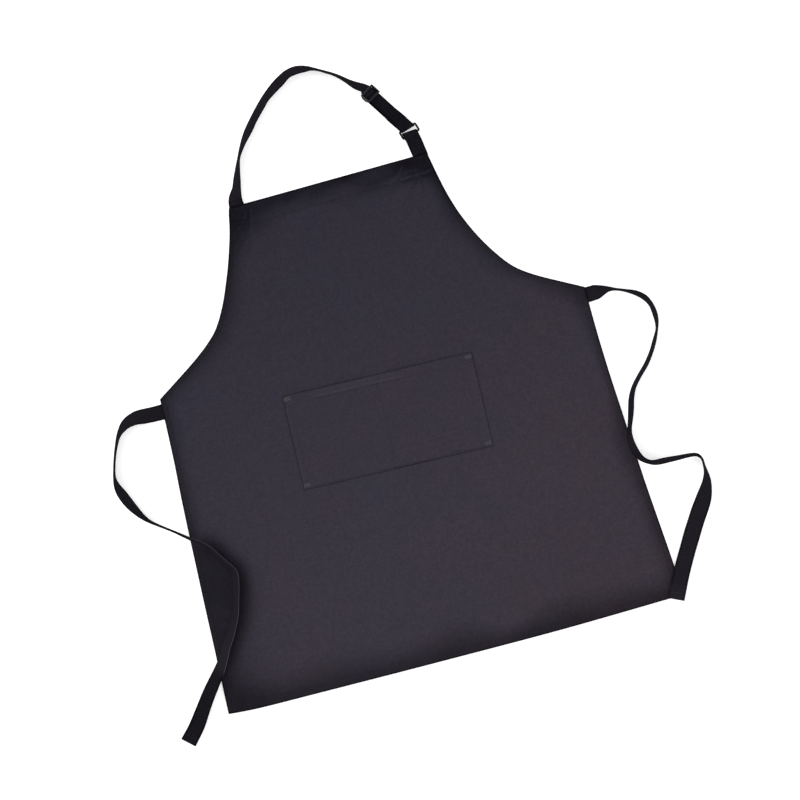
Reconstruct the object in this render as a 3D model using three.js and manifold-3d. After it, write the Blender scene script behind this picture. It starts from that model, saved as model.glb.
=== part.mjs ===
// Bib apron, laid flat on its back: front panel, two-compartment patch pocket,
// neck strap with a tri-glide slider and a rectangular ring, and two waist ties.
// Millimetres. X runs across the apron, +Y towards the bib, +Z out of the front.
// The origin is on the panel's back face, in the middle of the waist line.
import * as THREE from "three";
import { mergeVertices } from "three/addons/utils/BufferGeometryUtils.js";
import Module from "manifold-3d";

// ---------------------------------------------------------------- dimensions
const GAP = 0.3; // clearance between neighbouring pieces
const PANEL_T = 3.0; // panel with its turned hems, as one slab
const STRAP_W = 23.0; // webbing width
const STRAP_T = 1.0; // webbing thickness
const HEM_BIB = 31.0; // depth of the bib's top hem
const HEM_SIDE = 8.0;
const HEM_ARM = 7.0;
const HEM_BOTTOM = 11.0;
const THREAD_W = 0.8; // a row of stitching, as one low ridge
const THREAD_H = 0.5;
const POCKET_W = 290.0;
const POCKET_H = 143.6;
const POCKET_AT = [-6.0, -118.1];
const POCKET_TURN = -1.6; // degrees
const POCKET_ROOM = 5.2; // height kept free inside each compartment
const POCKET_T = 1.0;
const POCKET_SEAM = 3.0; // width of the sewn margin
const POCKET_HEM = 12.5;
const TACK = [11.0, 9.5, 0.7]; // corner bartack
const SLIDE_DIR = [0.545, -0.8384]; // unit vector along the doubled strap, towards the ring
const SLIDER_AT = [92.8, 358.8, 10.4];
const SLIDER_TILT = 30.0; // degrees, webbing and slider lean over together
const SLIDER_L = 17.0;
const SLIDER_SLOT = 23.8;
const SLIDER_RAIL = 1.7;
const RING_TURN = 17.2; // degrees from X
const RING_REACH = 74.6; // from the slider's middle to the ring's upper bar, along the strap
const RING_Z = 3.5;
const RING_WIRE = 3.0;
const RING_BAR_GAP = 11.5; // between the two long bars' centre lines
const RING_CLEAR = 24.0; // inside length
const TAB_FOOT = [141.8, 253.9];
const TIE_PIVOT_OUT = 14.0; // from the side edge to the centre the tie swings about
const TIE_ROOT_Y = [-19.5, -12.0]; // left, right
const Z_ON_PANEL = 4.3; // lower edge of webbing that crosses the panel
const Z_ON_TABLE = 0.2;

// Right and left armhole edges, bib corner to waist corner.
const ARM_RIGHT = [
  [153.3, 247.9], [154.9, 239.8], [157.9, 223.6], [161.2, 207.4], [164.9, 191.0],
  [169.5, 174.4], [174.9, 157.6], [181.8, 140.3], [189.8, 122.8], [199.3, 104.9],
  [210.8, 86.4], [224.4, 67.5], [236.5, 54.6], [250.5, 43.8], [269.0, 32.2],
  [294.8, 18.1], [328.4, 0.2],
];
const ARM_LEFT = [
  [-154.4, 246.5], [-156.6, 239.0], [-159.2, 225.8], [-163.5, 208.4], [-168.7, 191.4],
  [-174.3, 174.4], [-180.4, 157.5], [-187.1, 140.8], [-194.0, 124.1], [-201.8, 107.7],
  [-210.8, 91.6], [-221.6, 76.0], [-236.6, 61.4], [-254.0, 47.5], [-273.1, 34.1],
  [-293.1, 20.9], [-325.6, -0.2],
];
const BIB_LEFT = [-153.2, 249.1];
const BIB_RIGHT = [152.6, 253.3];
const SIDE_RIGHT = [
  [328.4, 0.2], [329.1, -66.4], [331.2, -128.6], [334.7, -191.2], [341.2, -300.7],
  [346.0, -363.5], [350.8, -426.4], [353.2, -480.5],
];
const SIDE_LEFT = [
  [-325.6, -0.2], [-329.1, -92.8], [-332.8, -153.4], [-336.9, -244.6],
  [-340.1, -320.9], [-342.3, -381.9], [-346.5, -479.5],
];
const BOTTOM = [
  [353.2, -480.5], [269.0, -482.6], [162.0, -484.6], [-13.0, -484.6],
  [-191.0, -483.6], [-311.0, -482.2], [-346.5, -479.5],
];

// Webbing routes: x, y, lean (0 lies flat, 90 stands on edge) and the height its lower edge rests at.
const NECK_ROUTE = [
  [-142.0, 256.0, 10, 0.2], [-136.9, 270.4, 48, 0.2], [-132.1, 285.6, 62, 0.2],
  [-126.6, 300.7, 73, 0.2], [-120.6, 315.3, 81, 0.2], [-113.5, 328.2, 77, 0.2],
  [-105.4, 340.3, 69, 0.2], [-96.0, 353.4, 60, 0.2], [-85.1, 367.7, 62, 0.2],
  [-72.2, 381.4, 61, 0.2], [-59.8, 392.0, 61, 0.2], [-46.6, 401.8, 58, 0.2],
  [-33.1, 410.7, 56, 0.2], [-18.6, 418.2, 58, 0.2], [-4.9, 421.4, 58, 0.2],
  [8.4, 420.6, 65, 0.2], [18.8, 417.6, 77, 0.2], [27.7, 413.4, 83, 0.2],
  [37.3, 407.9, 83, 0.2], [46.4, 402.0, 82, 0.2], [56.0, 394.8, 79, 0.4],
  [66.4, 386.4, 71, 0.9], [76.4, 377.6, 56, 2.2],
];
const TIE_LEFT_ROUTE = [
  [-356.0, -19.5, 8, 0.2], [-368.2, -19.4, 30, 0.2], [-380.6, -22.2, 46, 0.2],
  [-390.8, -27.8, 63, 0.2], [-399.2, -37.2, 76, 0.2], [-405.8, -50.4, 81, 0.2],
  [-411.3, -64.6, 82, 0.2], [-416.6, -80.5, 82, 0.2], [-420.4, -96.0, 80, 0.2],
  [-420.6, -109.4, 68, 0.2], [-416.8, -122.8, 54, 0.2], [-410.2, -138.2, 52, 0.2],
  [-402.0, -152.6, 62, 0.2], [-394.0, -164.2, 73, 0.2], [-385.0, -173.6, 80, 0.3],
  [-373.0, -183.2, 83, 1.2], [-358.0, -193.8, 83, 3.2], [-344.7, -203.4, 81, 4.3],
  [-332.0, -213.2, 79, 4.3], [-319.8, -222.8, 75, 4.3], [-309.6, -233.4, 69, 4.3],
  [-300.4, -247.4, 66, 4.3], [-292.0, -263.0, 63, 4.3], [-287.2, -279.4, 60, 4.3],
  [-287.6, -297.5, 61, 4.3], [-292.4, -317.6, 63, 4.3], [-298.3, -335.8, 62, 4.3],
  [-305.8, -353.2, 57, 4.3], [-314.4, -368.4, 52, 4.3], [-323.6, -383.4, 52, 4.3],
  [-332.1, -397.4, 53, 4.3], [-341.4, -411.8, 50, 4.3], [-354.6, -429.0, 43, 3.9],
  [-368.2, -446.2, 40, 1.4], [-382.5, -465.4, 34, 0.3], [-397.3, -484.9, 20, 0.2],
  [-415.6, -505.0, 0, 0.2],
];
const TIE_RIGHT_ROUTE = [
  [345.0, -12.6, 18, 0.2], [358.0, -12.4, 58, 0.2], [371.1, -14.4, 79, 0.2],
  [385.7, -19.2, 81, 0.2], [399.0, -26.6, 76, 0.2], [410.6, -37.0, 72, 0.2],
  [417.8, -50.2, 72, 0.2], [419.9, -64.6, 72, 0.2], [418.9, -77.8, 76, 0.2],
  [416.0, -88.4, 82, 0.2], [409.8, -101.8, 80, 0.2], [400.4, -117.9, 78, 0.2],
  [387.9, -134.9, 74, 0.2], [373.9, -150.2, 74, 0.4], [361.4, -164.6, 73, 1.4],
  [353.2, -179.1, 71, 3.4], [347.7, -193.6, 71, 4.3], [342.6, -207.6, 74, 4.3],
  [338.2, -220.3, 77, 4.3], [335.8, -233.9, 69, 4.3], [336.8, -248.6, 59, 4.3],
  [341.4, -261.8, 58, 4.3], [349.0, -271.4, 67, 4.3], [358.0, -276.6, 71, 3.4],
  [368.4, -279.2, 69, 1.8], [382.0, -280.4, 72, 0.5], [398.8, -281.2, 74, 0.2],
  [413.6, -281.9, 77, 0.2], [425.6, -284.4, 78, 0.2], [431.8, -291.4, 81, 0.2],
  [433.6, -300.8, 83, 0.2], [433.4, -311.0, 79, 0.2], [431.0, -322.9, 66, 0.2],
  [425.4, -337.0, 46, 0.2], [417.2, -352.2, 22, 0.2], [407.2, -368.3, 4, 0.3],
  [392.4, -391.6, 0, 1.6], [378.5, -414.4, 0, 3.8], [363.2, -439.6, 0, 4.3],
  [350.2, -461.4, 0, 4.3], [338.4, -481.4, 0, 4.3],
];

// ------------------------------------------------------------------- helpers
const wasm = await Module();
wasm.setup();

const material = (color, roughness, metalness = 0) =>
  new THREE.MeshStandardMaterial({ color, roughness, metalness });
const CLOTH = () => material(0x38343d, 0.85);
const WEBBING = () => material(0x1c1a1e, 0.75);
const THREAD = () => material(0x4c4852, 0.7);
const PLASTIC = () => material(0x121214, 0.35);

const root = new THREE.Group();
function add(name, geometry, mat, group = root) {
  const mesh = new THREE.Mesh(geometry, mat);
  mesh.name = name;
  group.add(mesh);
  return mesh;
}
const vec = (a, z = 0) => new THREE.Vector3(a[0], a[1], a.length > 2 ? a[2] : z);
const rad = THREE.MathUtils.degToRad;

// A closed geometry as a manifold solid, and back.
function solid(geometry) {
  const g = geometry.clone();
  g.deleteAttribute("normal");
  g.deleteAttribute("uv");
  const m = mergeVertices(g, 1e-4);
  return new wasm.Manifold(
    new wasm.Mesh({
      numProp: 3,
      vertProperties: new Float32Array(m.attributes.position.array),
      triVerts: new Uint32Array(m.index.array),
    }),
  );
}
function geometryOf(made) {
  const m = made.getMesh();
  const g = new THREE.BufferGeometry();
  g.setAttribute("position", new THREE.BufferAttribute(new Float32Array(m.vertProperties), 3));
  g.setIndex(new THREE.BufferAttribute(new Uint32Array(m.triVerts), 1));
  g.computeVertexNormals();
  return g;
}
const union = (...gs) => geometryOf(gs.map(solid).reduce((a, b) => a.add(b)));
const minus = (g, ...cuts) => geometryOf(cuts.map(solid).reduce((a, b) => a.subtract(b), solid(g)));

function box(w, l, h, at, turn = 0) {
  const g = new THREE.BoxGeometry(w, l, h);
  g.rotateZ(rad(turn));
  g.translate(at[0], at[1], at[2]);
  return g;
}
function plate(points, z0, h) {
  const shape = new THREE.Shape(points.map((p) => new THREE.Vector2(p[0], p[1])));
  const g = new THREE.ExtrudeGeometry(shape, { depth: h, bevelEnabled: false });
  g.translate(0, 0, z0);
  return g;
}

// A flat band swept along frames: frame(t) gives the centre and the unit vector across the band.
function band(frame, segments, width, thickness) {
  const g = new THREE.BoxGeometry(1, width, thickness, segments, 1, 1);
  const p = g.attributes.position;
  for (let i = 0; i < p.count; i++) {
    const f = frame(p.getX(i) + 0.5);
    const across = f.across;
    const up = new THREE.Vector3().crossVectors(f.along, across).normalize();
    const q = f.at
      .clone()
      .addScaledVector(across, p.getY(i))
      .addScaledVector(up, p.getZ(i));
    p.setXYZ(i, q.x, q.y, q.z);
  }
  return g;
}

// Webbing along a route. side is +1 if its left edge is the higher one, seen along the route.
function route(stations, side, width, tail = []) {
  const pts = stations.map(([x, y, lean, low]) => {
    const a = rad(lean);
    return new THREE.Vector3(x, y, low + (width / 2) * Math.sin(a) + (STRAP_T / 2) * Math.cos(a));
  });
  const leans = stations.map((s) => s[2]);
  for (const t of tail) {
    pts.push(vec(t.at));
    leans.push(t.lean);
  }
  const curve = new THREE.CatmullRomCurve3(pts, false, "centripetal");
  const n = pts.length - 1;
  return (t) => {
    const at = curve.getPoint(t);
    const along = curve.getTangent(t);
    const k = Math.min(n - 1, Math.floor(t * n));
    const f = t * n - k;
    const a = rad(leans[k] + (leans[k + 1] - leans[k]) * f);
    const left = new THREE.Vector3(-along.y, along.x, 0).normalize().multiplyScalar(side);
    const across = left.multiplyScalar(Math.cos(a)).add(new THREE.Vector3(0, 0, Math.sin(a)));
    across.addScaledVector(along, -across.dot(along)).normalize();
    return { at, along, across };
  };
}

// A row of stitching along points on a face at height z.
function stitchRow(points, z) {
  const pts = points.map((p) => new THREE.Vector3(p[0], p[1], z + GAP + THREAD_H / 2));
  const curve = new THREE.CatmullRomCurve3(pts, false, "centripetal");
  return band(
    (t) => {
      const along = curve.getTangent(t);
      return { at: curve.getPoint(t), along, across: new THREE.Vector3(-along.y, along.x, 0).normalize() };
    },
    points.length > 2 ? (points.length - 1) * 2 : 1,
    THREAD_W,
    THREAD_H,
  );
}
// A box of stitching round a sewn webbing end.
function stitchBox(w, l, at, turn, z) {
  const outline = (a, b) => [[-a, -b], [a, -b], [a, b], [-a, b]].map((p) => new THREE.Vector2(p[0], p[1]));
  const shape = new THREE.Shape(outline(w / 2, l / 2));
  shape.holes.push(new THREE.Path(outline(w / 2 - THREAD_W, l / 2 - THREAD_W)));
  const g = new THREE.ExtrudeGeometry(shape, { depth: THREAD_H, bevelEnabled: false });
  g.rotateZ(rad(turn));
  g.translate(at[0], at[1], z + GAP);
  return g;
}
// Points moved sideways from a polyline, to its left when d is positive.
function offset(points, d) {
  return points.map((p, i) => {
    const a = points[Math.max(0, i - 1)], b = points[Math.min(points.length - 1, i + 1)];
    const dx = b[0] - a[0], dy = b[1] - a[1], l = Math.hypot(dx, dy);
    return [p[0] - (dy / l) * d, p[1] + (dx / l) * d];
  });
}
const lerp = (a, b, f) => a.map((v, i) => v + (b[i] - v) * f);
// x of a side edge at height y
function edgeX(side, y) {
  for (let i = 1; i < side.length; i++)
    if (y <= side[i - 1][1] && y >= side[i][1])
      return lerp(side[i - 1], side[i], (side[i - 1][1] - y) / (side[i - 1][1] - side[i][1]))[0];
  return side[0][0];
}
const bibY = (x) => BIB_LEFT[1] + ((BIB_RIGHT[1] - BIB_LEFT[1]) * (x - BIB_LEFT[0])) / (BIB_RIGHT[0] - BIB_LEFT[0]);

// --------------------------------------------------------------- front panel
const outline = [
  BIB_LEFT, BIB_RIGHT, ...ARM_RIGHT, ...SIDE_RIGHT.slice(1), ...BOTTOM.slice(1),
  ...SIDE_LEFT.slice(0, -1).reverse(), ...ARM_LEFT.slice(0, -1).reverse(),
].reverse();
const neckFootX = -141.7;
const tieRootX = [edgeX(SIDE_LEFT, TIE_ROOT_Y[0]), edgeX(SIDE_RIGHT, TIE_ROOT_Y[1])];
const SLOT_W = STRAP_W + 2 * GAP, SLOT_H = 1.8;
const TAIL_BIB = 27.0, TAIL_TIE = 18.0;
const slots = [
  box(SLOT_W, 60, 2 * SLOT_H, [neckFootX, bibY(neckFootX) - TAIL_BIB - GAP + 30, 0]),
  box(SLOT_W, 60, 2 * SLOT_H, [TAB_FOOT[0], bibY(TAB_FOOT[0]) - TAIL_BIB - GAP + 30, 0]),
  box(60, SLOT_W, 2 * SLOT_H, [tieRootX[0] + TAIL_TIE + GAP - 30, TIE_ROOT_Y[0], 0]),
  box(60, SLOT_W, 2 * SLOT_H, [tieRootX[1] - TAIL_TIE - GAP + 30, TIE_ROOT_Y[1], 0]),
];
add("front_panel", minus(plate(outline, 0, PANEL_T), ...slots), CLOTH());

// Rows of stitching that hold the turned hems.
const hemY = (x) => bibY(x) - HEM_BIB;
add("bib_hem_stitch", stitchRow([[-151, hemY(-151)], [151, hemY(151)]], PANEL_T), THREAD());
const armCut = (arm) => arm.slice(3, -1);
add("armhole_stitch_right", stitchRow(offset(armCut(ARM_RIGHT), -HEM_ARM), PANEL_T), THREAD());
add("armhole_stitch_left", stitchRow(offset(armCut(ARM_LEFT), HEM_ARM), PANEL_T), THREAD());
const sideRow = (side, s) =>
  [-44, -120, -200, -280, -360, -430, -464].map((y) => [edgeX(side, y) - s * HEM_SIDE, y]);
add("side_stitch_left", stitchRow(sideRow(SIDE_LEFT, -1), PANEL_T), THREAD());
add("side_stitch_right", stitchRow(sideRow(SIDE_RIGHT, 1), PANEL_T), THREAD());
add(
  "bottom_hem_stitch",
  stitchRow([[342, -470.2], ...BOTTOM.slice(1, -1).map((p) => [p[0], p[1] + HEM_BOTTOM]), [-336, -469.2]], PANEL_T),
  THREAD(),
);

// -------------------------------------------------------------------- pocket
const pocketGroup = new THREE.Group();
pocketGroup.position.set(POCKET_AT[0], POCKET_AT[1], 0);
pocketGroup.rotation.z = rad(POCKET_TURN);
root.add(pocketGroup);
const PZ0 = PANEL_T + GAP, PZ1 = PZ0 + POCKET_ROOM, PZ2 = PZ1 + POCKET_T;
{
  // one cloth front on sewn margins: closed at the sides, foot and middle, open at the mouth
  const hw = POCKET_W / 2, hh = POCKET_H / 2, m = POCKET_SEAM, cx = -2.0;
  const shell = box(POCKET_W, POCKET_H, PZ2 - PZ0, [0, 0, (PZ0 + PZ2) / 2]);
  const roomL = [(-hw + m + cx - 1.3) / 2, cx - 1.3 + hw - m];
  const roomR = [(cx + 1.3 + hw - m) / 2, hw - m - cx - 1.3];
  const room = ([x, w]) => box(w, POCKET_H - m + 10, POCKET_ROOM + 10, [x, m / 2 + 5, PZ1 - POCKET_ROOM / 2 - 5]);
  add("pocket", minus(shell, room(roomL), room(roomR)), CLOTH(), pocketGroup);
  const tx = hw - 1.2 - TACK[0] / 2, ty = hh - 1.2 - TACK[1] / 2, tz = PZ2 + GAP + TACK[2] / 2;
  for (const [n, sx, sy] of [["top_left", -1, 1], ["top_right", 1, 1], ["bottom_left", -1, -1], ["bottom_right", 1, -1]])
    add("pocket_bartack_" + n, box(...TACK, [sx * tx, sy * ty, tz]), THREAD(), pocketGroup);
  add("divider_tack_top", box(5, 2.2, TACK[2], [cx, hh - 4.2, tz]), THREAD(), pocketGroup);
  add("divider_tack_bottom", box(5, 2.2, TACK[2], [cx, -hh + 5.2, tz]), THREAD(), pocketGroup);
  add("pocket_divider_stitch", stitchRow([[cx, -hh + 8.4], [cx, hh - POCKET_HEM - 1.6]], PZ2), THREAD(), pocketGroup);
  add("pocket_mouth_stitch", stitchRow([[-hw + 4.2, hh - POCKET_HEM], [hw - 4.2, hh - POCKET_HEM]], PZ2), THREAD(), pocketGroup);
  const e = 2.4, c = 12.4;
  add("pocket_stitch_left", stitchRow([[-hw + e, hh - c], [-hw + e, -hh + c]], PZ2), THREAD(), pocketGroup);
  add("pocket_stitch_right", stitchRow([[hw - e, hh - c], [hw - e, -hh + c]], PZ2), THREAD(), pocketGroup);
  add("pocket_stitch_bottom", stitchRow([[-hw + 13.6, -hh + e], [hw - 13.6, -hh + e]], PZ2), THREAD(), pocketGroup);
}

// ----------------------------------------------------- webbing sewn to panel
const tailZ = 0.15 + STRAP_T / 2;
add("neck_strap_sewn_end", box(STRAP_W, TAIL_BIB, STRAP_T, [neckFootX, bibY(neckFootX) - TAIL_BIB / 2, tailZ]), WEBBING());
add("ring_tab_sewn_end", box(STRAP_W, TAIL_BIB, STRAP_T, [TAB_FOOT[0], bibY(TAB_FOOT[0]) - TAIL_BIB / 2, tailZ]), WEBBING());
add("neck_anchor_stitch", stitchBox(17, 20, [neckFootX - 0.4, bibY(neckFootX) - 14.5], 0, PANEL_T), THREAD());
add("tab_anchor_stitch", stitchBox(17, 20, [TAB_FOOT[0] - 2.2, bibY(TAB_FOOT[0]) - 14.5], 0, PANEL_T), THREAD());
const STUB = 6.5; // how far the sewn end stands out of the side edge
for (const [i, n, s] of [[0, "left", -1], [1, "right", 1]]) {
  const x = tieRootX[i], y = TIE_ROOT_Y[i];
  const knuckle = new THREE.CylinderGeometry(STRAP_W / 2 + 2.1, STRAP_W / 2 + 2.1, 6, 48);
  knuckle.rotateX(Math.PI / 2);
  knuckle.translate(x + s * TIE_PIVOT_OUT, y, 1);
  const l = TAIL_TIE + STUB;
  add("tie_sewn_end_" + n, minus(box(l, STRAP_W, STRAP_T, [x + s * (l / 2 - TAIL_TIE), y, tailZ]), knuckle), WEBBING());
  add("tie_anchor_stitch_" + n, stitchBox(13, 19, [x - s * 9.5, y], 0, PANEL_T), THREAD());
}

// ---------------------------------------------------------------- neck strap
const S = vec(SLIDER_AT), D = vec(SLIDE_DIR).normalize();
const LEAN = rad(SLIDER_TILT);
// across the slider: the edge nearer the neck opening is the higher one
const inward = new THREE.Vector3(D.y, -D.x, 0); // right of the route
const ACROSS = inward.clone().multiplyScalar(Math.cos(LEAN)).add(new THREE.Vector3(0, 0, Math.sin(LEAN)));
const UP = new THREE.Vector3().crossVectors(ACROSS, D).normalize(); // out of the webbing's upper face
const onSlide = (d, up = 0) => S.clone().addScaledVector(D, d).addScaledVector(UP, up);
const ringDir = new THREE.Vector3(Math.cos(rad(RING_TURN)), Math.sin(rad(RING_TURN)), 0);
const ringUp = new THREE.Vector3(-ringDir.y, ringDir.x, 0);
const barUpper = onSlide(RING_REACH).setZ(RING_Z);
const R = barUpper.clone().addScaledVector(ringUp, -RING_BAR_GAP / 2);
const barLower = barUpper.clone().addScaledVector(ringUp, -RING_BAR_GAP);
const EYE = RING_WIRE / 2 + GAP + 0.2 + STRAP_T / 2; // from a bar's centre to the webbing round it
const arr = (v) => [v.x, v.y, v.z];
// the strap meets the bar at a slant, so near the ring it lies across along the bar
const ALONG_BAR = ringDir.clone().negate();
const topEnd = barUpper.clone().addScaledVector(D, -11).add(new THREE.Vector3(0, 0, EYE + 0.4));
{
  const tail = [
    { at: arr(onSlide(-12.5)), lean: SLIDER_TILT + 3 },
    { at: arr(onSlide(-10)), lean: SLIDER_TILT },
    { at: arr(onSlide(2)), lean: SLIDER_TILT },
    { at: arr(onSlide(14)), lean: SLIDER_TILT },
    { at: arr(onSlide(26)), lean: SLIDER_TILT },
    { at: arr(onSlide(38)), lean: SLIDER_TILT },
    { at: arr(onSlide(44)), lean: SLIDER_TILT },
    { at: arr(topEnd.clone().lerp(onSlide(44), 0.5)), lean: SLIDER_TILT / 2 },
    { at: arr(topEnd), lean: 0 },
  ];
  const f = route(NECK_ROUTE, -1, STRAP_W, tail);
  const last = NECK_ROUTE.length + tail.length - 1;
  const g = (t) => {
    const r = f(t), w = (t * last - (last - 2)) / 2;
    if (w > 0) r.across.copy(ACROSS.clone().lerp(ALONG_BAR, w).normalize());
    return r;
  };
  add("neck_strap", band(g, last * 3, STRAP_W, STRAP_T), WEBBING());
}

// The strap's return: from the ring's upper bar back under the strap to the slider's centre bar.
const BAR_DEPTH = -2.95; // the slider's centre bar lies under the webbing
const BAR_T = 1.3;
{
  const e2 = BAR_T / 2 + GAP + 0.2 + STRAP_T / 2;
  const pts = [], acr = [];
  const put = (at, lean) => {
    pts.push(at);
    acr.push(lean);
  };
  const zUp = new THREE.Vector3(0, 0, 1);
  const round = (c, out, up, r, a0, a1, n, lean) => {
    for (let i = 0; i <= n; i++) {
      const a = rad(a0 + ((a1 - a0) * i) / n);
      put(c.clone().addScaledVector(out, r * Math.cos(a)).addScaledVector(up, r * Math.sin(a)), lean);
    }
  };
  put(topEnd.clone().addScaledVector(D, 0.5), 0);
  round(barUpper, D, zUp, EYE, 90, -90, 6, 0);
  put(barUpper.clone().addScaledVector(D, -9).addScaledVector(zUp, -EYE + 0.3), 2);
  put(onSlide(42, -3.8), SLIDER_TILT - 4);
  put(onSlide(26, -4.2), SLIDER_TILT);
  put(onSlide(12, -4.3), SLIDER_TILT);
  round(onSlide(-0.5, BAR_DEPTH), D.clone().negate(), UP, e2, -90, 90, 6, SLIDER_TILT);
  put(onSlide(7, BAR_DEPTH + e2), SLIDER_TILT);
  const curve = new THREE.CatmullRomCurve3(pts, false, "centripetal");
  const n = pts.length - 1;
  const f = (t) => {
    const at = curve.getPoint(t), along = curve.getTangent(t);
    const k = Math.min(n - 1, Math.floor(t * n)), w = t * n - k;
    const lean = rad(acr[k] + (acr[k + 1] - acr[k]) * w);
    const turn = Math.min(1, Math.max(0, lean / LEAN));
    return { at, along, across: ALONG_BAR.clone().lerp(ACROSS, turn).normalize() };
  };
  add("strap_return", band(f, n * 2, STRAP_W - 1, STRAP_T), WEBBING());
}

// -------------------------------------------------------------------- slider
{
  // local frame: x across, y along the strap, z out of the webbing's upper face
  const lo = -4.1, hi = 2.3, endT = 1.4, bar = 2.8;
  const rails = [-1, 1].map((s) => {
    const shape = new THREE.Shape();
    // side rail seen from the side: a low arch over the length of the slider
    const L = SLIDER_L / 2;
    shape.moveTo(-L, hi - 1.9);
    shape.lineTo(-L, hi - 0.5);
    shape.lineTo(-L + 0.7, hi);
    shape.lineTo(L - 0.7, hi);
    shape.lineTo(L, hi - 0.5);
    shape.lineTo(L, hi - 1.9);
    shape.lineTo(3.4, lo);
    shape.lineTo(-3.4, lo);
    const g = new THREE.ExtrudeGeometry(shape, { depth: SLIDER_RAIL, bevelEnabled: false });
    // shape's x -> strap direction, shape's y -> up, depth -> across
    g.applyMatrix4(new THREE.Matrix4().makeBasis(new THREE.Vector3(0, 1, 0), new THREE.Vector3(0, 0, 1), new THREE.Vector3(1, 0, 0)));
    g.translate(s > 0 ? SLIDER_SLOT / 2 : -SLIDER_SLOT / 2 - SLIDER_RAIL, 0, 0);
    return g;
  });
  const inner = SLIDER_SLOT + 1;
  const ends = [-1, 1].map((s) => box(inner, bar, endT, [0, s * (SLIDER_L / 2 - bar / 2), hi - endT / 2]));
  const centre = box(inner, 2.4, BAR_T, [0, 0, BAR_DEPTH]);
  const g = union(rails[0], rails[1], ends[0], ends[1], centre);
  const place = new THREE.Matrix4().makeBasis(ACROSS, D, UP).setPosition(S);
  // makeBasis(ACROSS, D, UP) is right-handed: ACROSS x D = UP
  g.applyMatrix4(place);
  add("slider_buckle", g, PLASTIC());
}
// bar of stitching that closes the webbing's eye round the slider's centre bar, on its underside
{
  const g = new THREE.BoxGeometry(18, THREAD_W, THREAD_H);
  g.applyMatrix4(new THREE.Matrix4().makeBasis(ACROSS, D, UP).setPosition(onSlide(6, -5.75)));
  add("strap_end_stitch", g, THREAD());
}

// ---------------------------------------------------------------------- ring
{
  const hw = RING_CLEAR / 2 + RING_WIRE, hh = RING_BAR_GAP / 2 + RING_WIRE / 2;
  const rounded = (P, a, b, r) => {
    P.moveTo(-a + r, -b);
    P.lineTo(a - r, -b);
    P.absarc(a - r, -b + r, r, -Math.PI / 2, 0, false);
    P.lineTo(a, b - r);
    P.absarc(a - r, b - r, r, 0, Math.PI / 2, false);
    P.lineTo(-a + r, b);
    P.absarc(-a + r, b - r, r, Math.PI / 2, Math.PI, false);
    P.lineTo(-a, -b + r);
    P.absarc(-a + r, -b + r, r, Math.PI, 1.5 * Math.PI, false);
    return P;
  };
  const c = 0.6; // the bars' edges are rounded off
  const shape = rounded(new THREE.Shape(), hw - c, hh - c, 2.2);
  shape.holes.push(rounded(new THREE.Path(), hw - RING_WIRE + c, hh - RING_WIRE + c, 1.2));
  const g = new THREE.ExtrudeGeometry(shape, {
    depth: RING_WIRE - 2 * c, bevelEnabled: true, bevelThickness: c, bevelSize: c, bevelSegments: 1, curveSegments: 3,
  });
  g.translate(0, 0, -RING_WIRE / 2 + c);
  g.rotateZ(rad(RING_TURN));
  g.translate(R.x, R.y, R.z);
  add("ring", g, PLASTIC());
}

// The tab: webbing folded round the ring's lower bar, both layers running down to the bib.
{
  const foot = vec([TAB_FOOT[0], bibY(TAB_FOOT[0]) + 0.6]);
  const L = new THREE.Vector2(foot.x - barLower.x, foot.y - barLower.y).length();
  // profile along the tab: x from the bar towards the bib, y up, measured from the bar's centre
  const ro = RING_WIRE / 2 + GAP + 0.2 + STRAP_T, ri = RING_WIRE / 2 + GAP + 0.2;
  const zc = RING_Z;
  const shape = new THREE.Shape();
  shape.absarc(0, 0, ro, Math.PI / 2, 1.5 * Math.PI, false);
  shape.lineTo(L - 12, -ro + 0.1);
  shape.lineTo(L - 0.4, 0.15 - zc);
  shape.lineTo(L - 0.4, 0.15 + 2 * STRAP_T - zc);
  shape.lineTo(10, -0.2);
  shape.lineTo(0.2, ro);
  const eye = new THREE.Path();
  eye.absarc(0, 0, ri, 0, 2 * Math.PI, true);
  shape.holes.push(eye);
  const g = new THREE.ExtrudeGeometry(shape, { depth: STRAP_W, bevelEnabled: false, curveSegments: 8 });
  g.translate(0, 0, -STRAP_W / 2);
  // the bar keeps the ring's direction at the eye; the webbing lines up with the bib at its foot
  const p = g.attributes.position;
  const footDir = new THREE.Vector3(1, 0.0137, 0).normalize();
  for (let i = 0; i < p.count; i++) {
    const x = p.getX(i), y = p.getY(i), z = p.getZ(i);
    const f = Math.min(1, Math.max(0, (x - 4) / (L - 4)));
    const across = ringDir.clone().lerp(footDir, f).normalize();
    const down = ringUp.clone().negate().lerp(new THREE.Vector3(foot.x - barLower.x, foot.y - barLower.y, 0).normalize(), f);
    const along = f > 0 ? foot.clone().setZ(0).sub(barLower.clone().setZ(0)).normalize() : down;
    const q = barLower.clone().addScaledVector(along, x).addScaledVector(across, -z);
    p.setXYZ(i, q.x, q.y, barLower.z + y);
  }
  add("ring_tab", g, WEBBING());
}

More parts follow.
